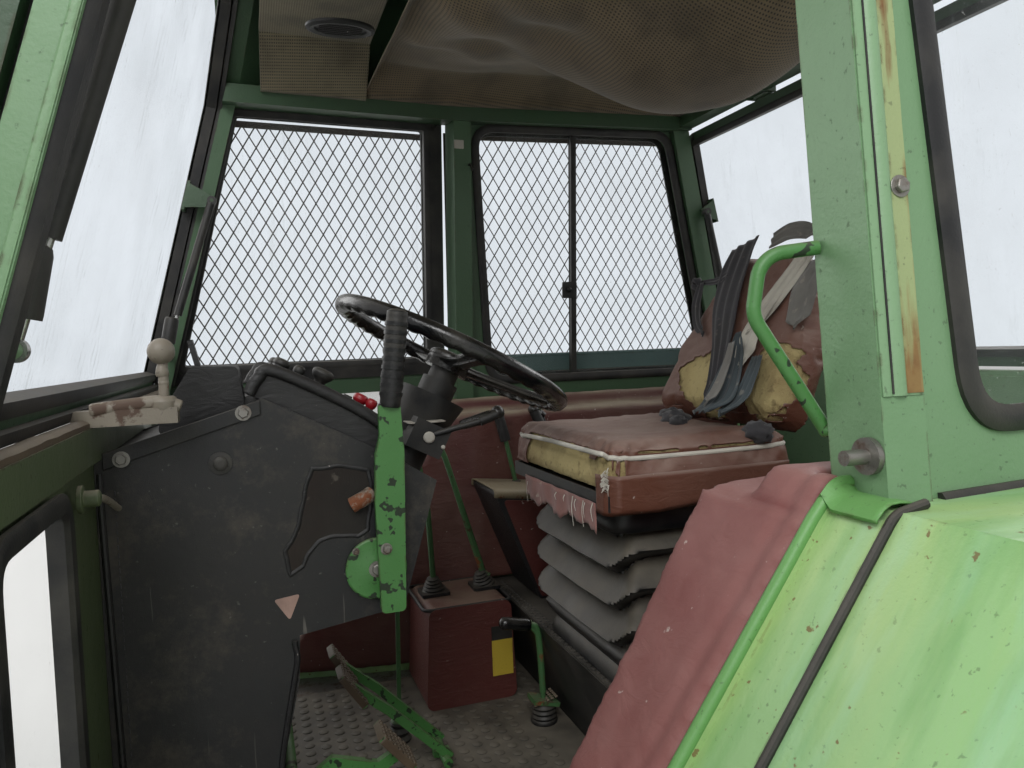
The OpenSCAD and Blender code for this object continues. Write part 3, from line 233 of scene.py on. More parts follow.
class Shape:
    """Corners and faces of one piece in millimetres, gathered part by part."""

    def __init__(self):
        self.corners = []
        self.faces = []
        self.tones = []

    def add(self, corners, faces, tone=0):
        start = len(self.corners)
        self.corners += [tuple(c) for c in corners]
        self.faces += [tuple(start + i for i in face) for face in faces]
        self.tones += [tone] * len(faces)
        return self

    def rows(self, rows, loop=False, ring=False, tone=0, ends=False):
        """A surface through rows of points; loop joins each row's ends, ring the first and last row."""
        n, m = len(rows), len(rows[0])
        faces = []
        for i in range(n if ring else n - 1):
            for j in range(m if loop else m - 1):
                a, b = i * m + j, i * m + (j + 1) % m
                c, d = (i + 1) % n * m + (j + 1) % m, (i + 1) % n * m + j
                faces.append((a, b, c, d))
        if ends:
            faces += [tuple(range(m)), tuple(range((n - 1) * m, n * m))]
        return self.add([p for row in rows for p in row], faces, tone)

    def strip(self, line, section, place, closed=True, tone=0):
        """A section of (across, out) points swept along a flat line, put in space by place(s, h, out)."""
        line = [Vector(p) for p in line]
        count = len(line)
        rows = []
        for i, p in enumerate(line):
            before = line[i - 1] if closed or i else p
            after = line[(i + 1) % count] if closed or i < count - 1 else p
            u = (p - before).normalized() if p != before else (after - p).normalized()
            v = (after - p).normalized() if after != p else u
            n = Vector((-u.y - v.y, u.x + v.x)).normalized()
            n = n / max(0.3, n.dot(Vector((-u.y, u.x))))
            rows.append([place(p.x + n.x * a, p.y + n.y * a, out) for a, out in section])
        return self.rows(rows, loop=True, ring=closed, tone=tone, ends=not closed)

    def tube(self, line, radius, sides=12, tone=0, closed=False, section=None):
        """A round bar along a line; the radius may be one number or one for each point."""
        line = [Vector(p) for p in line]
        count = len(line)
        radii = radius if hasattr(radius, "__len__") else [radius] * count
        ahead = (line[1] - line[0]).normalized()
        side = ahead.orthogonal().normalized()
        rows = []
        for i, p in enumerate(line):
            before = line[i - 1] if closed or i else p
            after = line[(i + 1) % count] if closed or i < count - 1 else p
            ahead = (after - before).normalized()
            side = (side - ahead * side.dot(ahead)).normalized()
            other = ahead.cross(side)
            shape = section or circle(1, sides)
            rows.append([p + (side * a + other * b) * radii[i] for a, b in shape])
        return self.rows(rows, loop=True, ring=closed, tone=tone, ends=not closed)

    def lathe(self, profile, at, axis=(0, 0, 1), sides=24, tone=0):
        """A turned form: (radius, height) points along an axis from a place."""
        axis = Vector(axis).normalized()
        side = axis.orthogonal().normalized()
        other = axis.cross(side)
        rows = []
        for radius, height in profile:
            r = max(radius, 0.01)
            rows.append([Vector(at) + axis * height + (side * a + other * b) * r
                         for a, b in circle(1, sides)])
        return self.rows(rows, loop=True, tone=tone, ends=True)

    def ball(self, at, radius, axis=(0, 0, 1), stretch=1.0, sides=20, tone=0):
        turns = [math.pi * k / 10 for k in range(11)]
        profile = [(radius * math.sin(a), -radius * stretch * math.cos(a)) for a in turns]
        return self.lathe(profile, at, axis, sides, tone)

    def slab(self, outline, place, low, high, tone=0):
        """A flat plate with an outline, between two heights out from its plane."""
        rows = [[place(p[0], p[1], out) for p in outline] for out in (low, high)]
        return self.rows(rows, loop=True, tone=tone, ends=True)

    def bolt(self, at, axis, size=9, tone=0):
        """A hexagon head with a washer."""
        self.lathe([(size * 1.15, 0), (size * 1.15, 1.4), (size * 0.5, 1.5)], at, axis, 20, tone)
        return self.lathe([(size * 0.8, 1.3), (size * 0.8, 5.4), (size * 0.66, 6.4)], at, axis, 6, tone)

    def piece(self, name, finishes, slot, body="cab", bevel=0.0, subdivide=0, smooth=35):
        data = bpy.data.meshes.new(name)
        data.from_pydata([(x * MM, y * MM, z * MM) for x, y, z in self.corners], [], self.faces)
        for finish in finishes:
            data.materials.append(FINISH[finish])
        data.polygons.foreach_set("material_index", self.tones)
        return settle(name, data, body, bevel, subdivide, smooth)


def settle(name, data, body="cab", bevel=0.0, subdivide=0, smooth=35):
    """Makes an object of a mesh, with its faces turned outward and shaded, and lets it ride on its body."""
    mesh = bmesh.new()
    mesh.from_mesh(data)
    bmesh.ops.recalc_face_normals(mesh, faces=mesh.faces)
    mesh.to_mesh(data)
    mesh.free()
    data.shade_smooth()
    data.set_sharp_from_angle(angle=math.radians(smooth))
    made = bpy.data.objects.new(name, data)
    scene.collection.objects.link(made)
    if bevel:
        edge = made.modifiers.new("bevel", "BEVEL")
        edge.width = bevel * MM
        edge.segments = 2
    if subdivide:
        finer = made.modifiers.new("finer", "SUBSURF")
        finer.levels = finer.render_levels = subdivide
    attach(made, body)
    return made


# Finishes


def linear(colour):
    """An sRGB colour of 0 to 255 as linear light."""
    return [((c / 255 + 0.055) / 1.055) ** 2.4 if c > 10 else c / 255 / 12.92 for c in colour]


class Finish:
    """A material built up in layers: a base, then spots, dust, wear and grain."""

    def __init__(self, name, colour, rough=0.5, metal=0.0):
        self.material = bpy.data.materials.new(name)
        self.material.use_nodes = True
        self.tree = self.material.node_tree
        self.tree.nodes.clear()
        out = self.tree.nodes.new("ShaderNodeOutputMaterial")
        self.shader = self.tree.nodes.new("ShaderNodeBsdfPrincipled")
        self.tree.links.new(self.shader.outputs[0], out.inputs[0])
        self.shader.inputs["Metallic"].default_value = metal
        self.where = self.tree.nodes.new("ShaderNodeTexCoord").outputs["Object"]
        self.colour = (*linear(colour), 1)
        self.rough = rough
        self.normal = None

    def put(self, socket, value):
        if isinstance(value, bpy.types.NodeSocket):
            self.tree.links.new(value, socket)
        else:
            socket.default_value = value

    def node(self, kind, values=(), **settings):
        made = self.tree.nodes.new(kind)
        for key, value in settings.items():
            setattr(made, key, value)
        for key, value in dict(values).items():
            self.put(made.inputs[key], value)
        return made

    def place(self, stretch=(1, 1, 1), shift=0.0, turn=(0, 0, 0)):
        values = {"Vector": self.where, "Scale": stretch, "Rotation": turn}
        values["Location"] = (shift, shift * 0.7, -shift)
        return self.node("ShaderNodeMapping", values).outputs[0]

    def noise(self, scale, detail=4, rough=0.55, distort=0.0, **where):
        values = {"Vector": self.place(**where), "Scale": scale, "Detail": detail}
        values.update({"Roughness": rough, "Distortion": distort})
        return self.node("ShaderNodeTexNoise", values).outputs["Fac"]

    def voronoi(self, scale, feature="F1", spread=1.0, **where):
        values = {"Vector": self.place(**where), "Scale": scale, "Randomness": spread}
        return self.node("ShaderNodeTexVoronoi", values, feature=feature).outputs["Distance"]

    def math(self, operation, a, b=0.0):
        made = self.node("ShaderNodeMath", operation=operation)
        self.put(made.inputs[0], a)
        self.put(made.inputs[1], b)
        return made.outputs[0]

    def level(self, value, low, high, to=(0.0, 1.0)):
        values = {"Value": value, "From Min": low, "From Max": high, "To Min": to[0], "To Max": to[1]}
        return self.node("ShaderNodeMapRange", values).outputs[0]

    def spots(self, scale, share, soft=0.04, **how):
        """A mask of blotches: about 1 where the noise is over the share."""
        return self.level(self.noise(scale, **how), share - soft, share + soft)

    def facing(self, axis="Z", low=0.35, high=0.95):
        """A mask of the faces that look along an axis."""
        normal = self.node("ShaderNodeNewGeometry").outputs["Normal"]
        return self.level(self.node("ShaderNodeSeparateXYZ", {0: normal}).outputs[axis], low, high)

    def along(self, direction, low, high):
        """A mask that rises from 0 to 1 between two distances, in metres, along a direction."""
        values = {0: self.where, 1: direction}
        return self.level(self.node("ShaderNodeVectorMath", values,
                                    operation="DOT_PRODUCT").outputs["Value"], low, high)

    def edges(self, radius=0.004, low=0.02, high=0.12):
        """A mask of the sharp edges."""
        geometry = self.node("ShaderNodeNewGeometry").outputs["Normal"]
        bevel = self.node("ShaderNodeBevel", {"Radius": radius}, samples=4).outputs[0]
        dot = self.node("ShaderNodeVectorMath", {0: geometry, 1: bevel},
                        operation="DOT_PRODUCT").outputs["Value"]
        return self.level(self.math("SUBTRACT", 1.0, dot), low, high)

    def dots(self, pitch, size, axes="XY"):
        """A mask of round holes in staggered rows, seen along the third axis; the pitch is in metres."""
        split = self.node("ShaderNodeSeparateXYZ", {0: self.where})
        waves = []
        for axis, other, sign in ((axes[0], axes[1], 1), (axes[0], axes[1], -1)):
            diagonal = self.math("ADD", split.outputs[axis],
                                 self.math("MULTIPLY", split.outputs[other], sign))
            waves.append(self.math("COSINE", self.math("MULTIPLY", diagonal, math.pi * 1.414 / pitch)))
        return self.level(self.math("MULTIPLY", waves[0], waves[1]), size - 0.12, size + 0.12)

    def times(self, *masks):
        result = masks[0]
        for mask in masks[1:]:
            result = self.math("MULTIPLY", result, mask)
        return result

    def cover(self, mask, colour, rough=None, strength=1.0):
        """Lays a colour over the finish where the mask is."""
        if strength != 1.0:
            mask = self.math("MULTIPLY", mask, strength)
        mix = self.node("ShaderNodeMix", data_type="RGBA")
        self.put(mix.inputs[0], mask)
        self.put(mix.inputs[6], self.colour)
        self.put(mix.inputs[7], (*linear(colour), 1))
        self.colour = mix.outputs[2]
        if rough is not None:
            made = self.node("ShaderNodeMix", data_type="FLOAT")
            self.put(made.inputs[0], mask)
            self.put(made.inputs[2], self.rough)
            self.put(made.inputs[3], rough)
            self.rough = made.outputs[0]
        return self

    def bump(self, height, depth, strength=1.0):
        values = {"Height": height, "Distance": depth, "Strength": strength}
        made = self.node("ShaderNodeBump", values)
        if self.normal is not None:
            self.put(made.inputs["Normal"], self.normal)
        self.normal = made.outputs[0]
        return self

    def done(self, **sockets):
        self.put(self.shader.inputs["Base Color"], self.colour)
        self.put(self.shader.inputs["Roughness"], self.rough)
        if self.normal is not None:
            self.put(self.shader.inputs["Normal"], self.normal)
        for key, value in sockets.items():
            self.put(self.shader.inputs[key.replace("_", " ")], value)
        return self.material


RUST = (112, 62, 34)
DARK_RUST = (66, 38, 26)
DUST = (158, 148, 130)
GRIME = (42, 40, 34)
SHADE = (38, 62, 44)


def paint(name, colour, pale, rust=0.7, dust=0.4, gloss=0.42, chips=0.0, far=0.0):
    """Old enamel paint, chalky in places; far darkens what lies on the shaded right side."""
    f = Finish(name, colour, gloss)
    f.cover(f.noise(3.1, detail=6), pale, strength=0.7)
    f.cover(f.spots(1.7, 0.56, 0.14, stretch=(1, 1, 0.35), shift=3), GRIME, 0.7, strength=0.22)
    f.cover(f.spots(150, 0.68, 0.03, detail=3), GRIME, 0.8, strength=0.4)
    if far:
        f.cover(f.along((0, -1, 0), -0.1, 0.5), SHADE, strength=far)
    f.cover(f.times(f.edges(), f.spots(38, 0.55, 0.06)), DARK_RUST, 0.8, strength=0.7)
    f.cover(f.spots(7, rust, 0.02, detail=8, rough=0.7), RUST, 0.85)
    f.cover(f.spots(26, rust + 0.04, 0.02, detail=6, shift=7), DARK_RUST, 0.85, strength=0.8)
    if chips:
        f.cover(f.spots(60, 0.62, 0.015, detail=2, shift=2), (24, 26, 22), 0.7, strength=chips)
    f.cover(f.times(f.facing(), f.noise(12)), DUST, 0.9, strength=dust)
    f.bump(f.noise(220, detail=2), 0.0004)
    f.bump(f.noise(7, detail=3), 0.004)
    return f


def fender_paint():
    """Chalky light green with yellowish, bluish and green streaks that run down the slope."""
    f = paint("fender_green", (138, 184, 116), (166, 206, 148), rust=0.72, dust=0.12, gloss=0.36)
    streak = {"stretch": (0.5, 2.4, 0.5), "detail": 6}
    f.cover(f.spots(4, 0.55, 0.12, shift=1, **streak), (186, 196, 120), strength=0.45)
    f.cover(f.spots(5, 0.58, 0.1, shift=5, **streak), (150, 200, 186), strength=0.4)
    f.cover(f.spots(9, 0.6, 0.08, shift=9, **streak), (98, 150, 82), strength=0.5)
    f.cover(f.spots(70, 0.69, 0.02, detail=3, shift=4), (112, 78, 48), 0.8, strength=0.8)
    return f


def streaked(name, colour, rusty=0.55):
    """A painted channel with rust running straight down it."""
    f = paint(name, colour, (160, 172, 124), rust=0.66, dust=0.1)
    run = f.level(f.noise(30, detail=5, rough=0.6, stretch=(1, 1, 0.03)), rusty, rusty + 0.12)
    f.cover(run, (126, 88, 46), 0.8, strength=0.85)
    f.cover(f.times(run, f.spots(16, 0.5, 0.1, detail=6)), (92, 50, 26), 0.85, strength=0.9)
    return f


def vinyl(name, colour, dusty, dust, side_dust=0.3, mottle=(60, 26, 24), grain=900):
    f = Finish(name, colour, 0.46)
    f.cover(f.noise(4, detail=7, rough=0.65), mottle, strength=0.5)
    f.cover(f.spots(3, 0.5, 0.2, detail=8, rough=0.7), dusty, 0.72, strength=side_dust)
    f.cover(f.times(f.facing("Z", 0.2, 0.9), f.level(f.noise(9, detail=6), 0.2, 0.6)), dusty, 0.8,
            strength=dust)
    f.cover(f.spots(90, 0.72, 0.02, detail=4), (206, 198, 190), 0.8, strength=0.5)
    f.cover(f.spots(22, 0.74, 0.02, detail=5, stretch=(1, 1, 0.2)), dusty, 0.8, strength=0.4)
    f.bump(f.voronoi(grain, "DISTANCE_TO_EDGE"), 0.0005, 0.6)
    f.bump(f.noise(24, detail=4, stretch=(1, 1, 2.5), distort=1.5), 0.0025, 0.6)
    return f


def rubber(name, colour=(13, 14, 16), dust=0.25, gloss=0.5, dirt=(92, 88, 80)):
    f = Finish(name, colour, gloss)
    f.cover(f.spots(14, 0.54, 0.15, detail=7), dirt, 0.85, strength=0.3)
    f.cover(f.times(f.facing("Z", 0.1, 0.9), f.noise(18)), DUST, 0.9, strength=dust)
    f.bump(f.noise(300, detail=2), 0.0003)
    return f


def metal(name, colour, rust_share=0.58, rough=0.38):
    f = Finish(name, colour, rough, 0.75)
    f.cover(f.spots(30, rust_share, 0.08, detail=8, rough=0.7), (96, 66, 48), 0.8, strength=0.8)
    f.cover(f.noise(9), (70, 66, 62), strength=0.5)
    f.bump(f.noise(400, detail=2), 0.0002)
    return f


def glass(name, haze, streaks):
    """Thin dirty glass: almost clear, with whitish dust, run marks and fine scratches."""
    f = Finish(name, (205, 215, 215), 0.06)
    film = f.level(f.noise(4, detail=6, rough=0.6), 0.35, 0.75, to=(0.015, haze))
    down = {"stretch": (1, 1, 0.06), "detail": 5, "rough": 0.7}
    run = f.level(f.noise(30, distort=0.3, **down), 0.56, 0.78, to=(0.0, streaks))
    fine = f.level(f.noise(130, shift=3, **down), 0.66, 0.72, to=(0.0, streaks * 0.8))
    patch = f.level(f.noise(3, detail=3, shift=8), 0.45, 0.6)
    specks = f.level(f.noise(260, detail=3), 0.68, 0.76, to=(0.0, 0.3))
    alpha = f.math("ADD", f.math("ADD", film, f.math("MULTIPLY", run, patch)), f.math("ADD", fine, specks))
    f.cover(f.level(alpha, 0.03, 0.35), (226, 226, 220), 0.6)
    return f, f.math("MINIMUM", alpha, 0.7)


def cloth(name, colour, other, hole=0.0, fray=0.0):
    f = Finish(name, colour, 0.9)
    f.cover(f.spots(3.2, 0.5, 0.2, detail=7, rough=0.65), other, strength=0.7)
    f.cover(f.spots(11, 0.58, 0.1, detail=6), GRIME, strength=0.4)
    if hole:
        dots = f.dots(hole, 0.42)
        f.cover(dots, (34, 31, 26), strength=0.85)
        f.bump(f.math("SUBTRACT", 1.0, dots), 0.0008)
    if fray:
        f.cover(f.spots(40, 0.66, 0.03, detail=5), (190, 180, 164), strength=fray)
    f.bump(f.noise(500, detail=2, stretch=(1, 1, 0.3)), 0.0004)
    return f


def foam():
    """Yellowed foam rubber with a rough torn face."""
    f = Finish("foam", (176, 158, 106), 0.95)
    f.cover(f.noise(11, detail=8, rough=0.7), (206, 192, 142), strength=0.8)
    f.cover(f.spots(7, 0.54, 0.1, detail=8), (118, 96, 60), strength=0.6)
    f.cover(f.spots(60, 0.62, 0.05, detail=6), (92, 76, 50), strength=0.5)
    f.bump(f.noise(60, detail=9, rough=0.75), 0.006)
    f.bump(f.noise(420, detail=4), 0.001)
    return f


def masked(f, *areas):
    """Lays plain colours over areas: each has a mask, a colour and a roughness."""
    for mask, colour, rough in areas:
        f.cover(mask, colour, rough)
    return f


def boarded():
    """Dash side panel: scuffed black board with a grey bloom and long scratches."""
    f = Finish("panel_black", (13, 16, 19), 0.42)
    f.cover(f.spots(3.2, 0.48, 0.16, detail=8, rough=0.7), (44, 42, 39), 0.7, strength=0.6)
    f.cover(f.spots(8, 0.58, 0.08, detail=9, rough=0.75), (96, 88, 76), 0.8, strength=0.4)
    f.cover(f.spots(120, 0.72, 0.03, detail=4), (120, 118, 112), 0.8, strength=0.3)
    scratch = f.level(f.noise(90, detail=2, stretch=(1, 1, 0.05), turn=(0, 0.5, 0)), 0.68, 0.72)
    f.cover(f.times(scratch, f.spots(5, 0.52, 0.05)), (128, 124, 116), 0.7, strength=0.5)
    f.bump(f.voronoi(700, "DISTANCE_TO_EDGE"), 0.0005, 0.6)
    f.bump(f.noise(9, detail=5), 0.004, 0.6)
    return f


def chipped_lever():
    """Bright green lever with chipped paint, black above the foot of its grip."""
    f = paint("brake_paint", (62, 118, 56), (84, 138, 76), rust=0.68, chips=0.9)
    return masked(f, (f.along((0, 0, 1), 0.8872, 0.8876), (16, 17, 18), 0.35))


FINISH = {
    "brake_paint": chipped_lever(),
    "green": paint("green", (104, 142, 100), (128, 160, 124), far=0.72),
    "pale_green": paint("pale_green", (116, 152, 112), (134, 166, 128), rust=0.74, dust=0.15),
    "fender_green": fender_paint(),
    # This green is the cab green darkened by painted shade; it goes on the frames and on the right door,
    # which lie in shade
    "dark_green": paint("dark_green", (46, 72, 48), (60, 86, 60), dust=0.3),
    "sill_green": paint("sill_green", (66, 84, 54), (92, 96, 70), dust=0.95),
    "bright_green": paint("bright_green", (62, 118, 56), (84, 138, 76), rust=0.68, chips=0.9),
    "lever_green": paint("lever_green", (58, 96, 56), (76, 112, 72), rust=0.62),
    "channel": paint("channel", (92, 150, 76), (112, 168, 96), rust=0.7, dust=0.1),
    "rust_channel": streaked("rust_channel", (142, 158, 108), 0.47),
    "teal": paint("teal", (70, 98, 98), (90, 116, 114), rust=0.66, dust=0.2),
    "red_vinyl": vinyl("red_vinyl", (112, 40, 38), (160, 124, 118), 0.55, side_dust=0.28),
    # The far cover's vinyl is the red cover vinyl darkened by painted shade of the shaded right side, with
    # heavier dust of its own
    "far_vinyl_painted_shade": vinyl("far_vinyl_painted_shade", (86, 30, 30), (140, 128, 108), 0.95, side_dust=0.22),
    "seat_vinyl": vinyl("seat_vinyl", (98, 54, 36), (146, 128, 118), 0.8, 0.14, (70, 38, 28)),
    "console_vinyl": vinyl("console_vinyl", (88, 30, 28), (128, 108, 92), 0.8, side_dust=0.16),
    "black_vinyl": vinyl("black_vinyl", (17, 18, 21), (76, 72, 66), 0.4, 0.16, (10, 11, 13), 650),
    "panel_black": boarded(),
    "rubber": rubber("rubber"),
    "bellows": rubber("bellows", (14, 15, 17), 0.55, 0.36, (60, 57, 52)),
    "black": rubber("black", (20, 21, 22), 0.2),
    "gloss_black": rubber("gloss_black", (12, 13, 15), 0.08, 0.16),
    "mat": rubber("mat", (30, 31, 32), 0.6, dirt=(88, 82, 70)),
    "brown_rubber": rubber("brown_rubber", (74, 60, 46), 0.6, dirt=(112, 98, 76)),
    "steel": metal("steel", (150, 148, 142)),
    "bright_steel": metal("bright_steel", (188, 188, 186), 0.68, 0.25),
    "cast_grey": paint("cast_grey", (128, 120, 108), (150, 142, 128), rust=0.6, dust=0.4),
    "mesh_brown": rubber("mesh_brown", (52, 40, 34), 0.15),
    "liner": cloth("liner", (116, 102, 80), (86, 74, 56), hole=0.0085),
    "board": cloth("board", (128, 120, 98), (104, 96, 76), hole=0.007),
    "piping": cloth("piping", (206, 204, 194), (170, 160, 144)),
    "pink_cloth": cloth("pink_cloth", (150, 108, 100), (120, 78, 72), fray=0.5),
    "dark_cloth": cloth("dark_cloth", (46, 46, 50), (66, 64, 66), fray=0.1),
    "teal_cloth": cloth("teal_cloth", (72, 82, 86), (52, 58, 62), fray=0.2),
    "white_cloth": cloth("white_cloth", (196, 192, 180), (150, 144, 132), fray=0.2),
    "grey_cloth": cloth("grey_cloth", (124, 122, 116), (92, 90, 86), fray=0.2),
    "foam": foam(),
    # Near-black cloth laid in the dash's torn hole as painted shade of its inside
    "painted_hole_shade": cloth("painted_hole_shade", (20, 17, 15), (46, 34, 25), fray=0.1),
    "sticker": cloth("sticker", (150, 120, 108), (178, 152, 140)),
    "red_knob": rubber("red_knob", (150, 22, 34), 0.1, 0.3, (100, 30, 30)),
    "yellow": paint("yellow", (196, 168, 50), (212, 188, 80), rust=0.68, dust=0.1),
    "panel_silver": paint("panel_silver", (170, 166, 156), (196, 192, 182), rust=0.64, dust=0.5),
    "beige": paint("beige", (128, 116, 92), (150, 138, 112), rust=0.66, dust=0.4),
}
for key, f in FINISH.items():
    FINISH[key] = f.done(Sheen_Weight=0.15) if f.rough == 0.9 else f.done()
for key, haze, streaks in (("clear", 0.08, 0.14), ("screen", 0.14, 0.34)):
    f, alpha = glass(key, haze, streaks)
    FINISH[key] = f.done(Alpha=alpha, Specular_IOR_Level=0.6)


NODE_FINISH = {
    "base_frame": "dark_green", "cab_mounts": "rubber", "floor_plate": "steel", "floor_mat": "mat",
    "seat_platform": "black", "fender_left": "fender_green", "fender_right": "fender_green",
    "cover_left": "red_vinyl", "cover_right": "far_vinyl_painted_shade", "posts": "green", "roof_frame": "dark_green",
    "front_wall": "sill_green", "lower_glass": "clear", "rear_wall": "green", "quarter_panels": "green",
    "quarter_glass": "clear", "roof_shell": "green", "headliner": "liner", "ceiling_board": "board",
    "rear_guard": "mesh_brown", "dash_body": "black_vinyl", "dash_panels": "panel_black",
    "instrument_panel": "black_vinyl", "sill_lever": "cast_grey", "steering_column": "black",
    "hand_brake": "brake_paint", "gear_console": "console_vinyl", "gear_levers": "lever_green",
    "hydraulic_console": "black_vinyl", "pedals": "bright_green", "seat_bellows": "bellows",
    "seat_pan": "black", "seat_cushion": "foam", "seat_back": "foam", "grab_handle": "bright_green",
    "strikers": "steel", "hinge_brackets": "green", "steering_wheel": "gloss_black",
    "left_door": "green", "left_door_glass": "clear", "right_door": "dark_green",
    "right_door_glass": "clear", "right_guard": "mesh_brown", "windscreen": "dark_green",
    "windscreen_glass": "screen", "screen_tubes": "black", "screen_rods": "bright_steel",
    "rear_window": "dark_green", "rear_window_glass": "clear", "rear_tubes": "black",
    "rear_rods": "bright_steel",
}
for node_name, finish in NODE_FINISH.items():
    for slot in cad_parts[node_name].material_slots:
        slot.material = FINISH[finish]

# Soft goods


def remeshed(name, node, voxel, shrink=0.0):
    """A new mesh of a soft solid, in even small faces; shrink draws its faces inward, in millimetres."""
    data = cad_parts[node].data.copy()
    made = bpy.data.objects.new(name, data)
    scene.collection.objects.link(made)
    made.modifiers.clear()
    weld = made.modifiers.new("weld", "WELD")
    weld.merge_threshold = 0.0001
    even = made.modifiers.new("even", "REMESH")
    even.mode = "VOXEL"
    even.voxel_size = voxel * MM
    if shrink:
        inward = made.modifiers.new("inward", "DISPLACE")
        inward.strength = -shrink * MM
        inward.mid_level = 0.0
    return apply(made)


def apply(made):
    """Puts what the modifiers do into the mesh, and takes them off."""
    bpy.context.view_layer.update()
    seen = made.evaluated_get(bpy.context.evaluated_depsgraph_get())
    data = bpy.data.meshes.new_from_object(seen)
    made.modifiers.clear()
    made.data = data
    return made


def corners_of(data):
    flat = np.empty(len(data.vertices) * 3)
    data.vertices.foreach_get("co", flat)
    return flat.reshape(-1, 3)


def normals_of(data):
    flat = np.empty(len(data.vertices) * 3)
    data.vertex_normals.foreach_get("vector", flat)
    return flat.reshape(-1, 3)


def puffed(made, pressure, cap, stiff=12.0, pinned=None):
    """Fills a remeshed form with air as cloth, and lets no point move further than the cap."""
    start = corners_of(made.data)
    cloth_form = made.modifiers.new("cloth", "CLOTH")
    settings = cloth_form.settings
    settings.quality = 5
    settings.mass = 0.3
    settings.tension_stiffness = settings.compression_stiffness = stiff
    settings.shear_stiffness = 5
    settings.bending_stiffness = 0.6
    settings.use_pressure = True
    settings.uniform_pressure_force = pressure
    settings.effector_weights.gravity = 0
    if pinned is not None:
        group = made.vertex_groups.new(name="held")
        group.add([int(i) for i in np.nonzero(pinned(start))[0]], 1.0, "REPLACE")
        settings.vertex_group_mass = "held"
    for step in range(1, 21):
        scene.frame_set(step)
    seen = made.evaluated_get(bpy.context.evaluated_depsgraph_get())
    end = corners_of(seen.data)
    made.modifiers.clear()
    scene.frame_set(1)
    move = end - start
    length = np.linalg.norm(move, axis=1, keepdims=True)
    move *= np.minimum(1.0, cap * MM / np.maximum(length, 1e-9))
    made.data.vertices.foreach_set("co", (start + move).ravel())
    made.data.update()
    return made


def thicken(made, thickness, side=-1.0):
    wall = made.modifiers.new("wall", "SOLIDIFY")
    wall.thickness = thickness * MM
    wall.offset = side


def smoothed(made, rounds, factor=0.5):
    soft = made.modifiers.new("soft", "SMOOTH")
    soft.iterations = rounds
    soft.factor = factor
    return apply(made)


def shaped(made, change):
    """Moves each corner of a mesh: change takes places and normals in millimetres and gives new places."""
    places = corners_of(made.data) / MM
    moved = change(places, normals_of(made.data))
    made.data.vertices.foreach_set("co", (moved * MM).ravel())
    made.data.update()
    return made


def noise_of(places, scale, shift=0.0):
    return np.array([noise.noise(Vector(p) * scale * MM + Vector((shift, shift, 0))) for p in places])


def toned(made, finishes, choose):
    """Sets each face's material by the number that choose gives for its centre and normal."""
    made.data.materials.clear()
    for finish in finishes:
        made.data.materials.append(FINISH[finish])
    tones = [choose(p.center / MM, p.normal) for p in made.data.polygons]
    made.data.polygons.foreach_set("material_index", tones)


def dressed(made, body="cab", subdivide=0, smooth=60):
    data = made.data
    name = made.name
    bpy.data.objects.remove(made)
    result = settle(name, data, body, subdivide=subdivide, smooth=smooth)
    return result


def skin_of(made, name, kept, finish, lift=1.2, thick=2.4, subdivide=1):
    """A thin cover over the faces of a padded form for which kept gives true, with a torn edge."""
    mesh = bmesh.new()
    mesh.from_mesh(made.data)
    gone = [f for f in mesh.faces if not kept(f.calc_center_median() / MM, f.normal)]
    bmesh.ops.delete(mesh, geom=gone, context="FACES")
    for v in mesh.verts:
        curl = 2.0 if v.is_boundary else 0.0
        v.co += v.normal * (lift + curl + 0.7 * noise.noise(v.co * 60)) * MM
    data = bpy.data.meshes.new(name)
    mesh.to_mesh(data)
    mesh.free()
    data.materials.clear()
    data.materials.append(FINISH[finish])
    shell = bpy.data.objects.new(name + "_raw", data)
    scene.collection.objects.link(shell)
    thicken(shell, thick, 1.0)
    if subdivide:
        finer = shell.modifiers.new("finer", "SUBSURF")
        finer.levels = finer.render_levels = subdivide
    apply(shell)
    data = shell.data
    bpy.data.objects.remove(shell)
    return settle(name, data, smooth=60)


SEAT_X, SEAT_DEPTH, SEAT_HALF, SEAT_H = 40, 375, 232, 694
CUSHION_FOOT, CUSHION_T = 720.5, 74
CUSHION_REAR = SEAT_X - SEAT_DEPTH + 10
BACK_LEAN = math.radians(27)
BACK_FOOT = Vector((CUSHION_REAR + 34, 0, CUSHION_FOOT + CUSHION_T + 0.3 + 34 * math.tan(BACK_LEAN)))


def on_back(y, up, out=0.0):
    """A point of the seat back: across, up along it and out from its front face."""
    sin, cos = math.sin(BACK_LEAN), math.cos(BACK_LEAN)
    return BACK_FOOT + Vector((out * cos - up * sin, y, up * cos + out * sin))


def inside(outline, x, y, jitter=0.0):
    """True where a point lies in an outline whose edge is torn by up to the jitter."""
    x += jitter * rough(x, y, 3, 55) + jitter * 0.5 * rough(x, y, 9, 160)
    y += jitter * rough(x, y, 7, 55) + jitter * 0.5 * rough(x, y, 5, 160)
    result = False
    for i in range(len(outline)):
        (x1, y1), (x2, y2) = outline[i - 1], outline[i]
        if (y1 > y) != (y2 > y) and x < (x2 - x1) * (y - y1) / (y2 - y1) + x1:
            result = not result
    return result


def cushion_crown(places, normals):
    """Wears a hollow into the seat and draws its sides in between the corners."""
    x, y, z = places.T
    top = np.clip((z - 760) / 30, 0, 1)
    hollow = 13 * np.exp(-((x + 150) / 110) ** 2 - (y / 120) ** 2)
    welt = 4 * np.exp(-((z - 778) / 5) ** 2) * (np.abs(normals[:, 2]) < 0.9)
    wrinkle = 2.2 * noise_of(places, 26) + 1.2 * noise_of(places, 70, 4)
    moved = places + normals * (wrinkle - welt * 0.5)[:, None]
    moved[:, 2] -= top * hollow
    return moved


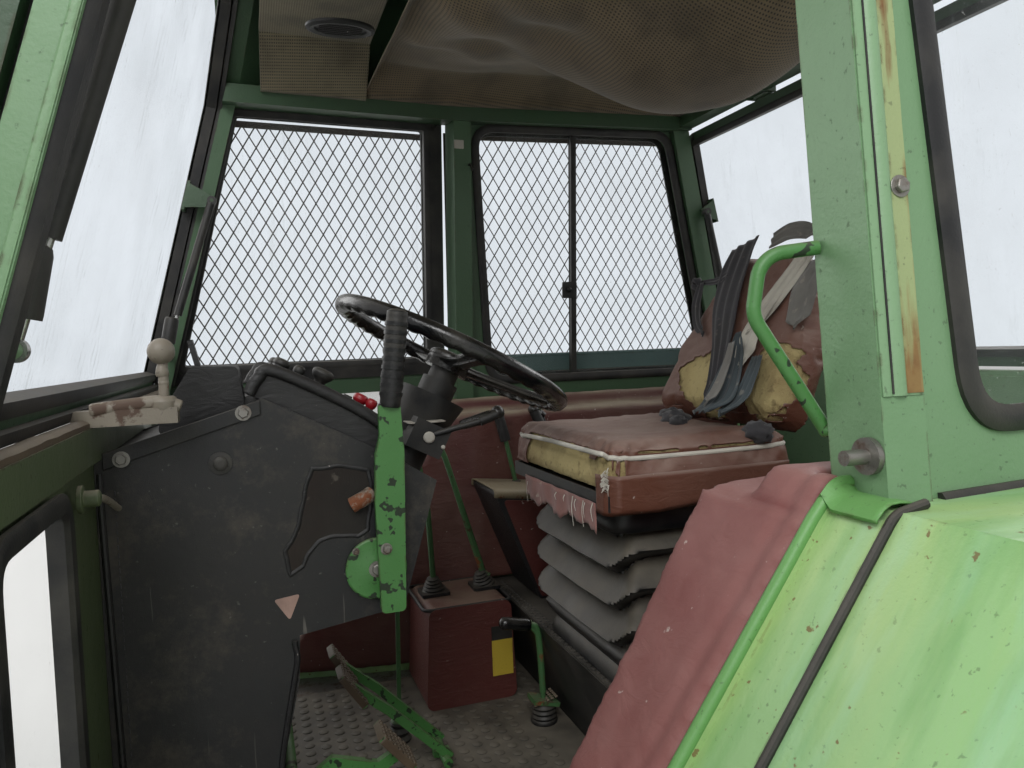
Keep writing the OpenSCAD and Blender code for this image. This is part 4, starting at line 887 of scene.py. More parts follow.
def make_cushion():
    form = remeshed("cushion_form", "seat_cushion", 6, shrink=7)
    puffed(form, 3.2, 13, pinned=lambda p: p[:, 2] < (CUSHION_FOOT + 9) * MM)
    shaped(form, cushion_crown)
    tear = [(-141, 700), (226, 700), (238, 742), (228, 776), (150, 774), (-20, 783), (-141, 776)]

    def kept(p, n):
        front = n.x > 0.35 and p.x > -30
        return n.z > -0.6 and not (front and inside(tear, p.y, p.z, 9))

    skin = skin_of(form, "cushion_cover", kept, "seat_vinyl")
    toned(form, ["foam"], lambda p, n: 0)
    surface = BVHTree.FromPolygons([v.co for v in skin.data.vertices],
                                   [p.vertices for p in skin.data.polygons])
    form.name = "cushion_foam"
    cushion = dressed(form)
    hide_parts("seat_cushion")

    # White piping round the top edge, front and near side
    edge = Shape()
    outline = rounded([(-SEAT_DEPTH + 48, -SEAT_HALF), (SEAT_X, -SEAT_HALF), (SEAT_X, SEAT_HALF),
                       (-SEAT_DEPTH + 48, SEAT_HALF)], 40, 8)
    line = []
    for a, b in zip(outline, [*outline[1:], outline[0]]):
        for k in range(8):
            p = a.lerp(b, k / 8)
            centre = Vector((-140 + (p.x + 140) * 0.7, p.y * 0.75, 745))
            target = Vector((p.x, p.y, 786))
            hit = surface.ray_cast(centre * MM, (target - centre).normalized())[0]
            line.append(hit / MM + (target - centre).normalized() * 1.5 if hit else target)
    soft = [sum((line[(i + k) % len(line)] for k in range(-3, 4)), Vector()) / 7 for i in range(len(line))]
    edge.tube(soft, 4.2, 10, closed=True)
    edge.piece("cushion_piping", ["piping"], "red_vinyl")


def make_seat_trim():
    """Torn hem under the cushion's front, its hanging threads, and the leather skirt over the pan."""
    hem = Shape()
    rows = []
    for i in range(61):
        y = -150 + 330 * i / 60
        x = SEAT_X - 2 + 3 * rough(y, 0, 1, 30)
        drop = 44 + 16 * rough(y, 3, 1, 18) + 9 * rough(y, 5, 1, 70)
        rows.append([(x + 5 * rough(y, k * 9, 2, 24) * k / 6, y, 702 - drop * k / 6) for k in range(7)])
    hem.rows(rows)
    made = hem.piece("hem_cloth", ["pink_cloth"], "red_vinyl")
    thicken(made, 1.4)
    skirt = Shape()
    rows = []
    path = bends([(-300, SEAT_HALF + 3), (22, SEAT_HALF + 3), (38, SEAT_HALF - 20), (41, SEAT_HALF - 46)],
                 14, 5)
    path = [p for a, b in zip(path, path[1:]) for p in (a.lerp(b, k / 10) for k in range(10))]
    for i, p in enumerate(path):
        foot = 689 + 12 * min(1, max(0, -p.x - 60) / 200) + 3 * rough(p.x, p.y, 1, 30)
        belly = 4 * rough(p.x, 40, 3, 12)
        rows.append([(p.x, p.y + belly * math.sin(math.pi * k / 8) - (3 if k == 8 else 0),
                      752 + (foot - 752) * k / 8) for k in range(9)])
    skirt.rows(rows)
    made = skirt.piece("seat_skirt", ["seat_vinyl"], "red_vinyl")
    thicken(made, 2.2)
    threads = Shape()
    starts = [(96, 700, 52), (108, 697, 20), (140, 700, 44), (146, 698, 26), (176, 702, 30),
              (-132, 690, 40), (20, 694, 14), (236, 768, 16), (240, 742, 18), (60, 696, 12)]
    for y, z, drop in starts:
        x = SEAT_X + 1 + 2 * rough(y, z, 0, 40)
        line = curve([(x, y, z), (x + 3, y + 4 * rough(y, 1, 1, 90), z - drop * 0.4),
                      (x + 1, y - 5 * rough(z, y, 1, 90), z - drop)], 5)
        threads.tube(line, np.linspace(0.9, 0.4, len(line)), 5)
    for k in range(46):
        y = 222 + 14 * rough(k * 37, 1, 1, 800)
        z = 744 + 26 * rough(k * 53, 2, 7, 800)
        start = Vector((SEAT_X - 4, y, z))
        end = start + Vector((9 + 5 * rough(k, 7, 1, 999), 9 * rough(k, 3, k, 999),
                              9 * rough(k, 9, 2, 999)))
        threads.tube(curve([start, start.lerp(end, 0.6) + Vector((0, 0, 3)), end], 3), 0.6, 4)
    threads.piece("seat_threads", ["piping"], "red_vinyl")


LEFT_PATCH = [(-150, 84), (-139, 104), (-96, 120), (-30, 136), (30, 140), (44, 60), (30, 6), (-25, 9),
              (-100, 38)]
RIGHT_PATCH = [(120, 148), (156, 152), (190, 142), (206, 98), (204, 44), (196, 12), (160, 4), (120, 20),
               (104, 90)]


def make_back():
    form = remeshed("back_form", "seat_back", 6, shrink=7)
    puffed(form, 3.0, 13)

    def change(places, normals):
        wrinkle = 2.0 * noise_of(places, 20, 2) + 1.0 * noise_of(places, 60, 7)
        return places + normals * wrinkle[:, None]

    shaped(form, change)
    sin, cos = math.sin(BACK_LEAN), math.cos(BACK_LEAN)

    def kept(p, n):
        if n.x * cos + n.z * sin < 0.2:
            return True
        d = p - BACK_FOOT
        up = d.z * cos - d.x * sin
        return not (inside(LEFT_PATCH, p.y, up, 10) or inside(RIGHT_PATCH, p.y, up, 10))

    skin = skin_of(form, "back_cover", kept, "seat_vinyl")
    toned(form, ["foam"], lambda p, n: 0)
    form.name = "back_foam"
    back = dressed(form)
    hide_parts("seat_back")


def length_of(line):
    return sum((q - p).length for p, q in zip(line, line[1:]))


def ribbon(name, finish, path, cut, folds, depth, seed, ragged=12.0):
    """A torn strip of cloth along a path of (y, up, out) on the back; cut gives its flat widths."""
    spine = curve(path, 7)
    count = len(spine)
    across = 26
    cut = np.interp(np.linspace(0, 1, count), np.linspace(0, 1, len(cut)), cut)
    rows = []
    for i, p in enumerate(spine):
        t = i / (count - 1)
        ahead = spine[min(i + 1, count - 1)] - spine[max(i - 1, 0)]
        flat = Vector((ahead.x, ahead.y)).normalized()
        n = Vector((flat.y, -flat.x))

        def gathered(span):
            row = []
            for j in range(across + 1):
                u = j / across - 0.5
                turn = 1.6 * rough(t * 300, seed * 40, 0, 9)
                wave = math.sin(2 * math.pi * folds * (u + 0.5) + seed + turn)
                lift = 0.45 * depth * (1 + wave) / 2 * (0.85 + 0.45 * rough(t * 260, j * 8, seed * 90, 10))
                end = ragged * rough(j * 17, seed * 70, 4, 60) * max(0.0, t - 0.86) / 0.14
                row.append(on_back(p.x + n.x * span * u, p.y + n.y * span * u + end, p.z + lift))
            return row

        # The folds draw the strip in until its width along them is the width it was cut to
        span = cut[i] * 0.9
        for _ in range(4):
            span *= cut[i] / length_of(gathered(span))
        rows.append(gathered(span))
    made = Shape().rows(rows).piece(name, [finish], "red_vinyl", smooth=80)
    thicken(made, 1.2)
    long = length_of([on_back(p.x, p.y, p.z) for p in spine]) * MM


def make_rags():
    """Torn strips of cloth that hang over the seat's back, each with its path of (y, up, out)."""
    ribbon("rag_dark", "dark_cloth",
           [(-92, 392, 6), (-74, 330, 18), (-52, 240, 20), (-12, 150, 20), (18, 60, 20), (20, 6, 26)],
           [88, 96, 84, 62, 50, 44], 3, 10, 0.4)
    ribbon("rag_knot_line", "dark_cloth",
           [(-206, 296, 14), (-178, 302, 14), (-130, 300, 16), (-84, 306, 22)],
           [22, 16, 20, 26], 2, 6, 1.3, ragged=3)
    ribbon("rag_knot_tail", "dark_cloth",
           [(-186, 300, 16), (-168, 250, 18), (-130, 196, 18), (-92, 170, 18)],
           [26, 34, 26, 18], 2, 8, 2.1)
    ribbon("rag_white", "white_cloth",
           [(118, 336, 8), (100, 270, 16), (78, 200, 20), (72, 150, 20), (82, 96, 22)],
           [34, 40, 44, 60, 66], 2, 7, 3.0)
    ribbon("rag_white_thin", "white_cloth",
           [(142, 330, 8), (124, 270, 14), (96, 210, 18), (60, 168, 20)],
           [16, 22, 24, 16], 1, 5, 4.2)
    ribbon("rag_grey", "grey_cloth",
           [(170, 318, 6), (168, 262, 14), (176, 220, 14), (184, 178, 14)],
           [60, 70, 64, 58], 2, 7, 5.0)
    ribbon("rag_teal", "teal_cloth",
           [(34, 168, 20), (56, 110, 24), (66, 60, 26), (76, 20, 34), (84, -14, 60)],
           [40, 70, 92, 110, 120], 4, 13, 6.1)
    ribbon("rag_teal_near", "teal_cloth",
           [(120, 120, 18), (128, 70, 22), (134, 30, 30), (142, -14, 60)],
           [34, 44, 56, 60], 3, 10, 7.4)
    ribbon("rag_pale_strip", "grey_cloth",
           [(52, 140, 38), (66, 90, 40), (72, 40, 44), (78, 4, 58)],
           [16, 24, 30, 34], 1, 5, 8.0)
    ribbon("rag_top", "grey_cloth",
           [(-6, 384, 2), (40, 392, 8), (90, 388, 10), (140, 372, 8)],
           [40, 46, 40, 30], 2, 9, 9.0)
    knot = Shape()
    knot.tube([on_back(-204 + 9 * math.cos(a), 300 + 9 * math.sin(a), 16 + 5 * math.sin(2 * a))
               for a in around(18)], 7, 8, closed=True)
    knot.tube([on_back(-204 + 7 * math.sin(a), 300 + 4 * math.cos(a), 20 + 7 * math.cos(a))
               for a in around(14)], 6, 8, closed=True)
    knot.piece("rag_knot", ["dark_cloth"], "red_vinyl", subdivide=1)
    wads = Shape()
    for y, x, size, k in ((-62, -262, 27, 1), (-118, -282, 24, 2), (-24, -244, 16, 3), (206, -258, 24, 4)):
        shift = Vector((k, 0, 0))
        rows = []
        for a in np.linspace(0, math.pi, 13):
            ring = []
            for b in around(24):
                d = Vector((math.sin(a) * math.cos(b), math.sin(a) * math.sin(b), math.cos(a)))
                r = size * (1 + 0.35 * noise.noise(d * 2.3 + shift) + 0.15 * noise.noise(d * 7 + shift))
                ring.append(Vector((x, y, 799)) + Vector((d.x * r, d.y * r * 1.3, d.z * r * 0.8)))
            rows.append(ring)
        wads.rows(rows, loop=True)
    wads.piece("rag_wads", ["dark_cloth"], "red_vinyl", smooth=80)


BELLOWS_FOOT, FOLDS = 404, 4


def make_bellows():
    """Rubber bellows whose front folds lie half a step above the side folds, so the corners interlock."""
    waist_x, waist_y, deep_x, deep_y = 140, 158, 180, 200
    centre = SEAT_X - SEAT_DEPTH / 2 - 20
    top = SEAT_H - 34
    step = (top - BELLOWS_FOOT) / FOLDS
    outline = rounded([(-1, -1), (1, -1), (1, 1), (-1, 1)], 0.22, 8)
    line = []
    for a, b in zip(outline, [*outline[1:], outline[0]]):
        parts = 16 if (a - b).length > 0.5 else 2
        line += [a.lerp(b, k / parts) for k in range(parts)]
    shape = Shape()
    rows = []
    for i in range(FOLDS * 16 + 1):
        z = BELLOWS_FOOT + i * step / 16
        row = []
        for p in line:
            side = 1 / (1 + math.exp(-14 * (abs(p.y) - abs(p.x))))
            phase = (i / 16 + 0.5 * (1 - side)) % 1.0
            belly = phase / 0.36 if phase < 0.36 else (1 - phase) / 0.64
            belly = belly**0.8 * (1 + 0.05 * rough(p.x * 300, p.y * 300, z, 8))
            sag = 5 * belly * rough(p.x * 200, p.y * 200, z * 2, 7)
            end = min(1.0, i / 6, (FOLDS * 16 - i) / 5)
            belly *= 0.25 + 0.75 * end
            row.append((centre + p.x * (waist_x + (deep_x - waist_x) * belly),
                        p.y * (waist_y + (deep_y - waist_y) * belly), z + sag * end))
        rows.append(row)
    shape.rows(rows, loop=True, ends=True)
    collar = [(0, top - 6), (3, top - 10), (6, top - 8), (8, top + 2), (7, SEAT_H - 10), (4, SEAT_H - 3),
              (0, SEAT_H - 1)]
    ring = [[(centre + p.x * (deep_x - 8 + out), p.y * (deep_y - 4 + out), z) for p in line]
            for out, z in collar]
    shape.rows(ring, loop=True, ends=True)
    foot = [[(centre + p.x * (waist_x + out), p.y * (waist_y + out), z) for p in line]
            for out, z in ((18, PLATFORM_TOP + 1), (18, PLATFORM_TOP + 14), (10, BELLOWS_FOOT),
                           (0, BELLOWS_FOOT + 6))]
    shape.rows(foot, loop=True, ends=True)
    made = shape.piece("bellows", ["bellows"], "black_rubber", smooth=50)
    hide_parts("seat_bellows")
    plate = Shape()
    plate.slab(rounded([(-60, 0), (60, 0), (60, 26), (-60, 26)], 4),
               lambda a, b, out: Vector((centre - 30 + a, deep_y + 3 + out, SEAT_H - 36 + b)), 0, 2.4)
    plate.piece("bellows_plate", ["black_vinyl"], "black_rubber", bevel=0.8)


def make_covers():
    """Padded covers over the fenders' inner walls: the same form softened, with seams and wrinkles."""
    for name, node, hand in (("cover_near", "cover_left", 1), ("cover_far", "cover_right", -1)):
        form = smoothed(remeshed(name, node, 7), 7)

        def change(places, normals, hand=hand):
            x, y, z = places.T
            y = y * hand
            grow = 2.2 + 2.4 * noise_of(places, 11, 3) + 1.1 * noise_of(places, 34, 5)
            crest = FENDER_FRONT + (FENDER_H + 18 - z) / math.tan(SLOPE)
            seam = 5 * np.exp(-((x - (70 + 0.10 * (y - 560))) / 7) ** 2) * (z > 790)
            seam += 3.5 * np.exp(-((y - 694) / 6) ** 2) * (x < crest + 60)
            band = np.exp(-((y - 640) / 50) ** 2) * (x > 120)
            pleat = 2.2 * np.sin(z / 26 + 2 * noise_of(places, 6)) * band
            return places + normals * (grow - seam + pleat * 0.6)[:, None]

        shaped(form, change)
        # The far cover takes the darker vinyl, whose extra darkness is painted shade
        finish = "red_vinyl" if hand > 0 else "far_vinyl_painted_shade"
        toned(form, [finish], lambda p, n: 0)
        made = dressed(form)
        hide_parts(node)


LINER_Z = BELT + WINDOW_H + RAIL_H - 20
BOARD_X = 250
LINER_REAR = -616


def rail_gap(x):
    """Half width between the side rails at a place along the cab."""
    wide = B_HALF - WINDOW_H * math.tan(TUMBLE) - 74
    return wide - (x - B_X) * math.tan(-FRONT) if x > B_X else wide - (B_X - x) * math.tan(REAR)


def make_headliner():
    """Perforated cloth that has come loose and hangs down in a lobe over the seat."""
    rows = []
    across, along = 110, 90
    for i in range(along + 1):
        x = LINER_REAR + (BOARD_X - LINER_REAR) * i / along
        half = rail_gap(x) - 3
        row = []
        for j in range(across + 1):
            y = half * (2 * j / across - 1)
            rim = min(1.0, (half - abs(y)) / 90, (x - LINER_REAR) / 90, (BOARD_X - x) / 30 + 0.15)
            z = LINER_Z + 6 + 62 * max(0, rim) ** 0.7
            lobe = math.exp(-(((x + 300) / 260) ** 2 + ((y - 10) / 330) ** 2) ** 1.4)
            front = math.exp(-(((x - 60) / 200) ** 2 + ((y + 120) / 300) ** 2) ** 1.3)
            sag = 222 * lobe + 70 * front
            turn = 1.5 * rough(x, y, 0, 5)
            fold = 14 * math.sin((x * 0.8 + y * 0.5) / 52 + turn) * (lobe + front) * (1 - lobe * 0.5)
            fold += 9 * math.sin((y - x * 0.4) / 34 + 2 * rough(x, y, 9, 6)) * front
            sag_edge = max(0.0, min(1.0, (half - abs(y)) / 140, (x - LINER_REAR) / 120,
                                    (BOARD_X + 20 - x) / 90))
            z -= (sag * sag_edge + fold * sag_edge) + 5 * rough(x, y, 3, 9) * rim
            row.append((x, y, z))
        rows.append(row)
    made = Shape().rows(rows).piece("headliner_cloth", ["liner"], "liner_cloth", smooth=80)
    thicken(made, 2.2)
    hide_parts("headliner")


# Glass seals, frames and trims


QUARTER = [(-794, -20), (-109, -20), (-77, 664.7), (-642, 664.7)]
EDGE_STRIP = [(0, 6), (0, 3.5), (-1.2, 1.5), (28, 1.5), (26, 3.5), (26, 6)]
DOOR_HOLE = [(44, 36), (693, 36), (536, 671), (44, 671)]
HINGE = Vector((FRONT_X + 12, A_HALF + 14, 0))
DOOR_OPEN = math.radians(100)


def swung(p):
    """Where a point of the closed left door lies with the door open."""
    return Matrix.Rotation(-DOOR_OPEN, 3, "Z") @ (p - HINGE) + HINGE


def make_side_windows():
    seals = Shape()
    for hand in (1, -1):
        outline, place = rounded(QUARTER, 60, 8), on_wall(REAR, hand)
        seals.strip(outline, [(-9, -30), (-9, -36), (-4, -38.5), (4, -38), (13, -34), (14, -30.4)], place)
        seals.strip(outline, [(-9, 0), (-9, 4.5), (-3, 7.5), (8, 8.2), (17, 5.6), (17, 0.4)], place)
    seals.piece("quarter_seals", ["rubber"], "black_rubber")
    divider = Shape()
    for hand in (1, -1):
        for low, high in ((0, -15.5), (5.3, 9)):
            top = high + math.copysign(1.2, high)
            section = ((-7.5, low), (-7.5, high), (0, top), (7.5, high), (7.5, low))
            rows = [[on_side(REAR, -366 + a, -30 + 28 * k, out, hand) for a, out in section]
                    for k in range(26)]
            divider.rows(rows, loop=True, ends=True)
        catch = rounded([(-372, 206), (-330, 206), (-330, 252), (-372, 252)], 5)
        divider.slab(catch, on_wall(REAR, hand), -15, -23)
        divider.ball(on_side(REAR, -348, 230, -26, hand), 8, outward(REAR, hand))
    divider.piece("window_dividers", ["black"], "black_paint", bevel=0.8)
    doors = Shape()
    outline = rounded(DOOR_HOLE, 24, 6)
    edge = rounded([(14, 6), (721, 6), (547, 682), (14, 682)], 14, 5)
    at_right = on_wall(FRONT, -1)
    doors.strip(outline, [(-5, 6), (-5, 2), (3, 0.5), (14, 4), (15, 19.6)], at_right)
    doors.strip(outline, [(-5, 40), (-5, 43), (4, 44), (15, 38), (16, 26.6)], at_right)
    doors.strip(edge, EDGE_STRIP, at_right)
    doors.piece("right_door_seals", ["rubber"], "black_rubber", "right_door")
    doors = Shape()

    def at_left(s, h, out):
        return swung(on_side(FRONT, s, h, out, 1))

    doors.strip(outline, [(-5, 6), (-5, 4), (3, 3.2), (14, 5), (15, 19.6)], at_left)
    doors.strip(outline, [(-5, 40), (-5, 43), (4, 44), (15, 38), (16, 26.6)], at_left)
    doors.piece("left_door_seals", ["rubber"], "black_rubber", "left_door")


def make_screen_seals():
    """Rubber round the windscreen, rear window and lower panes."""
    screen = Shape()
    outline = rounded([(-717.6, 0), (717.6, 0), (673.2, 687.4), (480, 884), (-480, 884), (-673.2, 687.4)],
                      30, 5)
    hole = inset(outline, 26)
    screen.strip(hole, [(-7, 0), (-7, -3.4), (0, -5), (9, -3), (11, 18)], on_screen)
    screen.strip(inset(outline, 4), [(0, 18), (0, 24), (6, 26.5), (26, 25), (28, 23.5)], on_screen)
    screen.piece("windscreen_seal", ["rubber"], "black_rubber", "windscreen")
    rear = Shape()
    outline = rounded([(-696.4, 0), (696.4, 0), (648.7, 678), (-648.7, 678)], 30, 5)
    rear.strip(inset(outline, 26), [(-6, 0), (-6, -3.2), (0, -4.8), (9, -3), (10, 18)], on_rear)
    rear.piece("rear_window_seal", ["rubber"], "black_rubber", "rear_window")
    low = Shape()
    for hand in (1, -1):
        pane = rounded([(436, 210), (668, 210), (675.6, 824), (436, 824)], 34, 6)

        def at_front(y, z, out, hand=hand):
            return Vector((739 - out, hand * y, z))

        low.strip(pane, [(-11, 0.2), (-11, 4.6), (-4, 7), (8, 5.4), (12, 0.5), (12, -16)], at_front)
    low.piece("lower_seals", ["rubber"], "black_rubber")
    opening = Shape()
    face = [(-700, 0), (700, 0), (657, 680), (470, 868), (-470, 868), (-657, 680)]
    opening.strip(rounded(face, 30, 5), [(0, -6), (0, 3), (5, 5.5), (12, 3), (12, -6)],
                  lambda y, up, out: on_screen(y, up, out - 9))
    opening.piece("screen_opening_seal", ["rubber"], "black_rubber")


def clip(p, q, outline):
    """The part of a flat line inside an outline that has no hollows, or None."""
    low, high = 0.0, 1.0
    d = q - p
    for i in range(len(outline)):
        a, b = Vector(outline[i - 1]), Vector(outline[i])
        n = Vector((-(b - a).y, (b - a).x))
        at, rate = n.dot(p - a), n.dot(d)
        if abs(rate) < 1e-9:
            if at < 0:
                return None
            continue
        t = -at / rate
        if rate > 0:
            low = max(low, t)
        else:
            high = min(high, t)
    return (p + d * low, p + d * high) if high - low > 0.002 else None


REAR_GUARD = [(-834, -6), (-8, -6), (-8, 656.7), (-686, 656.7)]
DOOR_GUARD = [(14, -6), (721, -6), (550, 656.7), (14, 656.7)]
REAR_GUARD_OUT, DOOR_GUARD_OUT = 30, 70
MESH_WIDE, MESH_TALL = 32.0, 53.0
GUARD_BAND = 46
STANDOFF = 8


def make_guard(name, node, outline, plane, out, body):
    """A guard of mesh: two families of strands, a flat frame, and a rail along its lower edge."""
    shape = Shape()
    field = inset(outline, 9)
    s0, s1 = min(p[0] for p in outline), max(p[0] for p in outline)
    h0, h1 = min(p[1] for p in outline), max(p[1] for p in outline)
    middle = out + 2
    place = on_wall(plane, -1)
    span = (h1 - h0) * MESH_WIDE / MESH_TALL + 40
    for sign in (1, -1):
        for i in range(int(-span / MESH_WIDE) - 2, int((s1 - s0 + span) / MESH_WIDE) + 3):
            start = Vector((s0 + i * MESH_WIDE, h0 - 10))
            end = start + Vector((sign * (h1 - h0 + 20) * MESH_WIDE / MESH_TALL, h1 - h0 + 20))
            part = clip(start, end, field)
            if part:
                ends = [place(p.x, p.y, middle + 0.8 * sign) for p in part]
                shape.tube(ends, 1.5, 4, section=[(-1, -0.55), (1, -0.55), (1, 0.55), (-1, 0.55)])
    shape.strip(outline, [(0, out), (0, out + 4), (1, out + 4.6), (15, out + 4.6), (16, out + 4),
                          (16, out)], place)
    made = shape.piece(name, ["mesh_brown"], "rusty_mesh", body, smooth=30)
    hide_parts(node)
    band = Shape()
    sides = [Vector(p) for p in inset(outline, 2)]
    left, right = sides[0], sides[1]
    lean_left, lean_right = sides[3] - left, sides[2] - right
    high = GUARD_BAND / (h1 - h0)
    flat = [left, right, right + lean_right * high, left + lean_left * high]
    band.slab(flat, place, out - 1.6, out + 5.4)
    ridge = [left + lean_left * high, right + lean_right * high]
    band.tube([place(p.x, p.y, out + 2) for p in ridge], 5.5, 10)
    band.piece(name + "_rail", ["teal"], "rusty_mesh", body, bevel=1.2)


def make_standoffs(name, plane, places, out, body):
    """Short bars that hold a guard off its wall, each with a bolt; places are (along, up, foot)."""
    posts = Shape()
    for s, h, foot in places:
        posts.tube([on_side(plane, s, h, foot, -1), on_side(plane, s, h, out, -1)], STANDOFF, 14)
        posts.bolt(on_side(plane, s, h, out + 5, -1), outward(plane, -1, s, h), STANDOFF)
    posts.piece(name, ["teal"], "rusty_mesh", body, bevel=0.6)


def make_guards():
    make_guard("guard_mesh", "rear_guard", REAR_GUARD, REAR, REAR_GUARD_OUT, "cab")
    make_guard("door_guard_mesh", "right_guard", DOOR_GUARD, FRONT, DOOR_GUARD_OUT, "right_door")
    rear = ((-23.5, 40, -4), (-23.5, 610.7, -4), (-816, 40, 0.3), (-686, 610.7, 0.3))
    make_standoffs("guard_posts", REAR, rear, REAR_GUARD_OUT, "cab")
    foot, low, high = DOOR_OUT + 0.2, 30, 630.7
    reach, lean = 713, 0.26
    door = [(26, h, foot) for h in (low, high)] + [(reach - lean * h, h, foot) for h in (low, high)]
    make_standoffs("door_guard_posts", FRONT, door, DOOR_GUARD_OUT, "right_door")


# Sections on the near post's face: along the wall from its front edge, and out from it
POST_PROFILE = [(-1.5, 0.4), (-1.5, 1.8), (-7, 2.6), (-10.5, 2.2), (-12, 0.9), (-13.5, 2.2), (-18, 4.6),
                (-23, 4.8), (-26, 2.6), (-28, 1.2), (-45, 1.2), (-46, 0.4)]
CHANNEL_PROFILE = [(-27, 1.2), (-28, 2.3), (-36, 1.9), (-44.6, 2.3), (-45.4, 1.2)]
LINE_PROFILE = [(-11, 1.2), (-11, 2.5), (-13, 2.5), (-13, 1.2)]


def up_the_post(profile, low, tall, steps, dent=0.0):
    """A section carried up the near post's face, dented by a little noise."""
    rows = [[on_side(FRONT, s, low + tall * k / steps, out + dent * rough(s, k * 20, 0, 30))
             for s, out in profile] for k in range(steps + 1)]
    return Shape().rows(rows, loop=True, ends=True)


def make_near_post():
    """The near middle post's outer skin: pale ridge, dark line, streaked channel and bolt."""
    skin = up_the_post(POST_PROFILE, 14, 640, 59)
    channel = up_the_post(CHANNEL_PROFILE, 16, 636, 59, 0.5)
    line = up_the_post(LINE_PROFILE, 16, 636, 11)
    skin.piece("post_skin", ["pale_green"], "green_paint", smooth=50)
    channel.piece("post_channel", ["rust_channel"], "faded_green", smooth=50)
    line.piece("post_line", ["black"], "black_paint")
    bolt = Shape().bolt(on_side(FRONT, -36.5, 203, 2.0), outward(FRONT, 1), 9)
    bolt.piece("post_bolt", ["steel"], "bare_steel", bevel=0.5)
    foot = Shape()
    line = [(-60, 2), (-140, 2), (-400, 2), (-780, 2)]
    foot.strip(line, [(-9, 0.3), (-9, 5), (-4, 8), (6, 8), (11, 4), (11, 0.3)],
               lambda s, h, out: on_side(REAR, s, h - 88, out), closed=False)
    foot.piece("panel_foot_strip", ["rubber"], "black_rubber")


STRIP_PROFILE = [(0.4, 0.4), (0.4, 1.4), (3, 2.2), (6, 2.2), (8, 0.4)]
SEAL_PROFILE = [(-0.3, -4), (-5, -5), (-9, -9), (-9, -22), (-5, -26), (-0.3, -26)]


def make_front_posts():
    """Pale edge strips and rubber seals on the front posts."""
    seals = Shape()
    strips = Shape()
    for hand in (1, -1):
        for shape, profile in ((strips, STRIP_PROFILE), (seals, SEAL_PROFILE)):
            rows = []
            for k in range(40):
                h = 8 + 642 * k / 39
                s = A_REACH - A_LEAN * h / SIDE_H
                rows.append([on_side(FRONT, s + a, h, out, hand) for a, out in profile])
            shape.rows(rows, loop=True, ends=True)
    strips.piece("front_post_strips", ["pale_green"], "faded_green")
    seals.piece("front_post_seals", ["rubber"], "black_rubber")


CAP_PROFILE = [(-22, 0.5), (-21, 5.6), (-6, 7.6), (4, 7.0), (12, 3.0), (21, -6), (20, -9)]
RIDGE_Y = 728


def make_fender_trim():
    """End cap and rounded ridge of the slope channel, and the black piping on its outer edge."""
    cap, piping = Shape(), Shape()
    along = Vector((math.cos(SLOPE), 0, -math.sin(SLOPE)))
    for hand in (1, -1):
        crest = Vector((FENDER_FRONT, 0, FENDER_H))
        line = [crest - Vector((30, 0, 0)), crest + along * 8, crest + along * 780]
        line = bends([p + Vector((0, hand * 799, 4.5)) for p in line], 24, 8)
        piping.tube(line, 4.6, 10)
        flat, sloped = Vector((0, hand * RIDGE_Y, 14)), Vector((11, hand * RIDGE_Y, 8))
        ridge = bends([crest + Vector((-14, 0, 0)) + flat, crest + Vector((2, 0, 0)) + flat,
                       crest + along * 30 + sloped, crest + along * 790 + sloped], 20, 8)
        cap.tube(ridge, 6.5, 12)
        rows = []
        for y in np.linspace(723, 795, 13):
            lift = 12 * math.exp(-((y - 729) / 7) ** 2)
            rows.append([(FENDER_FRONT + x, hand * y, FENDER_H + z + lift * (0.3 + 0.7 * (x > -18)))
                         for x, z in CAP_PROFILE])
        cap.rows(rows)
    made = cap.piece("channel_caps", ["channel"], "green_paint", smooth=60)
    thicken(made, 1.5)
    piping.piece("fender_piping", ["rubber"], "black_rubber")


def make_far_post():
    """Blank tag and bent hook on the far middle post, and the oval vent of the ceiling board."""
    tag = Shape()

    def place(a, b, out):
        return on_side(FRONT, -26 + a, 600 + b, -(74.6 + out), -1)

    tag.slab(rounded([(0, 0), (26, 0), (26, 22), (0, 22)], 2), place, 0, 1.4)
    tag.piece("post_tag", ["panel_silver"], "bare_steel", bevel=0.3)
    hook = Shape()
    p = on_side(FRONT, -40, 560, -75, -1)
    inward = -outward(FRONT, -1).normalized()
    bent = [p, p + inward * 12, p + inward * 20 + Vector((0, 0, -16)),
            p + inward * 26 + Vector((0, 0, -10))]
    hook.tube(curve(bent, 6), 2.6, 8)
    hook.piece("post_hook", ["black"], "bare_steel")
    vent = Shape()
    y, x = -200, 360
    oval = [(x + 58 * math.cos(a), y + 34 * math.sin(a)) for a in around(36)]
    vent.strip(oval, [(-7, 0), (-7, -5), (0, -8), (8, -6), (10, 0)], level(LINER_Z - 1))
    vent.slab([(x + (a - x) * 0.9, y + (b - y) * 0.9) for a, b in oval], level(LINER_Z - 1), -0.5, -2.5)
    for k in range(-3, 4):
        vent.tube([(x - 40, y + k * 8, LINER_Z - 5), (x + 40, y + k * 8, LINER_Z - 5)], 2.4, 6)
    vent.piece("board_vent", ["black_vinyl"], "black_rubber")


# Dash, wheel and controls

POD = Vector((543, 0, 904))
POD_TURN = math.radians(28)


def on_pod(x, y, z=0.0):
    """A point of the instrument panel: x along its slope (ahead is positive), z out from its face."""
    sin, cos = math.sin(POD_TURN), math.cos(POD_TURN)
    return POD + Vector((x * cos - z * sin, y, x * sin + z * cos))


DASH_FACE = 220
DASH_BOLTS = ((717, 836), (568, 886))
DASH_PLUG = (600, 821)
HOLE = [(486, 806), (446, 806), (404, 797), (400, 771), (408, 708), (424, 700), (451, 704), (477, 700),
        (501, 668), (520, 657), (527, 691), (506, 728), (495, 780)]


def at_dash(x, z, out=0.0):
    return across_at(DASH_FACE)(x, z, out)


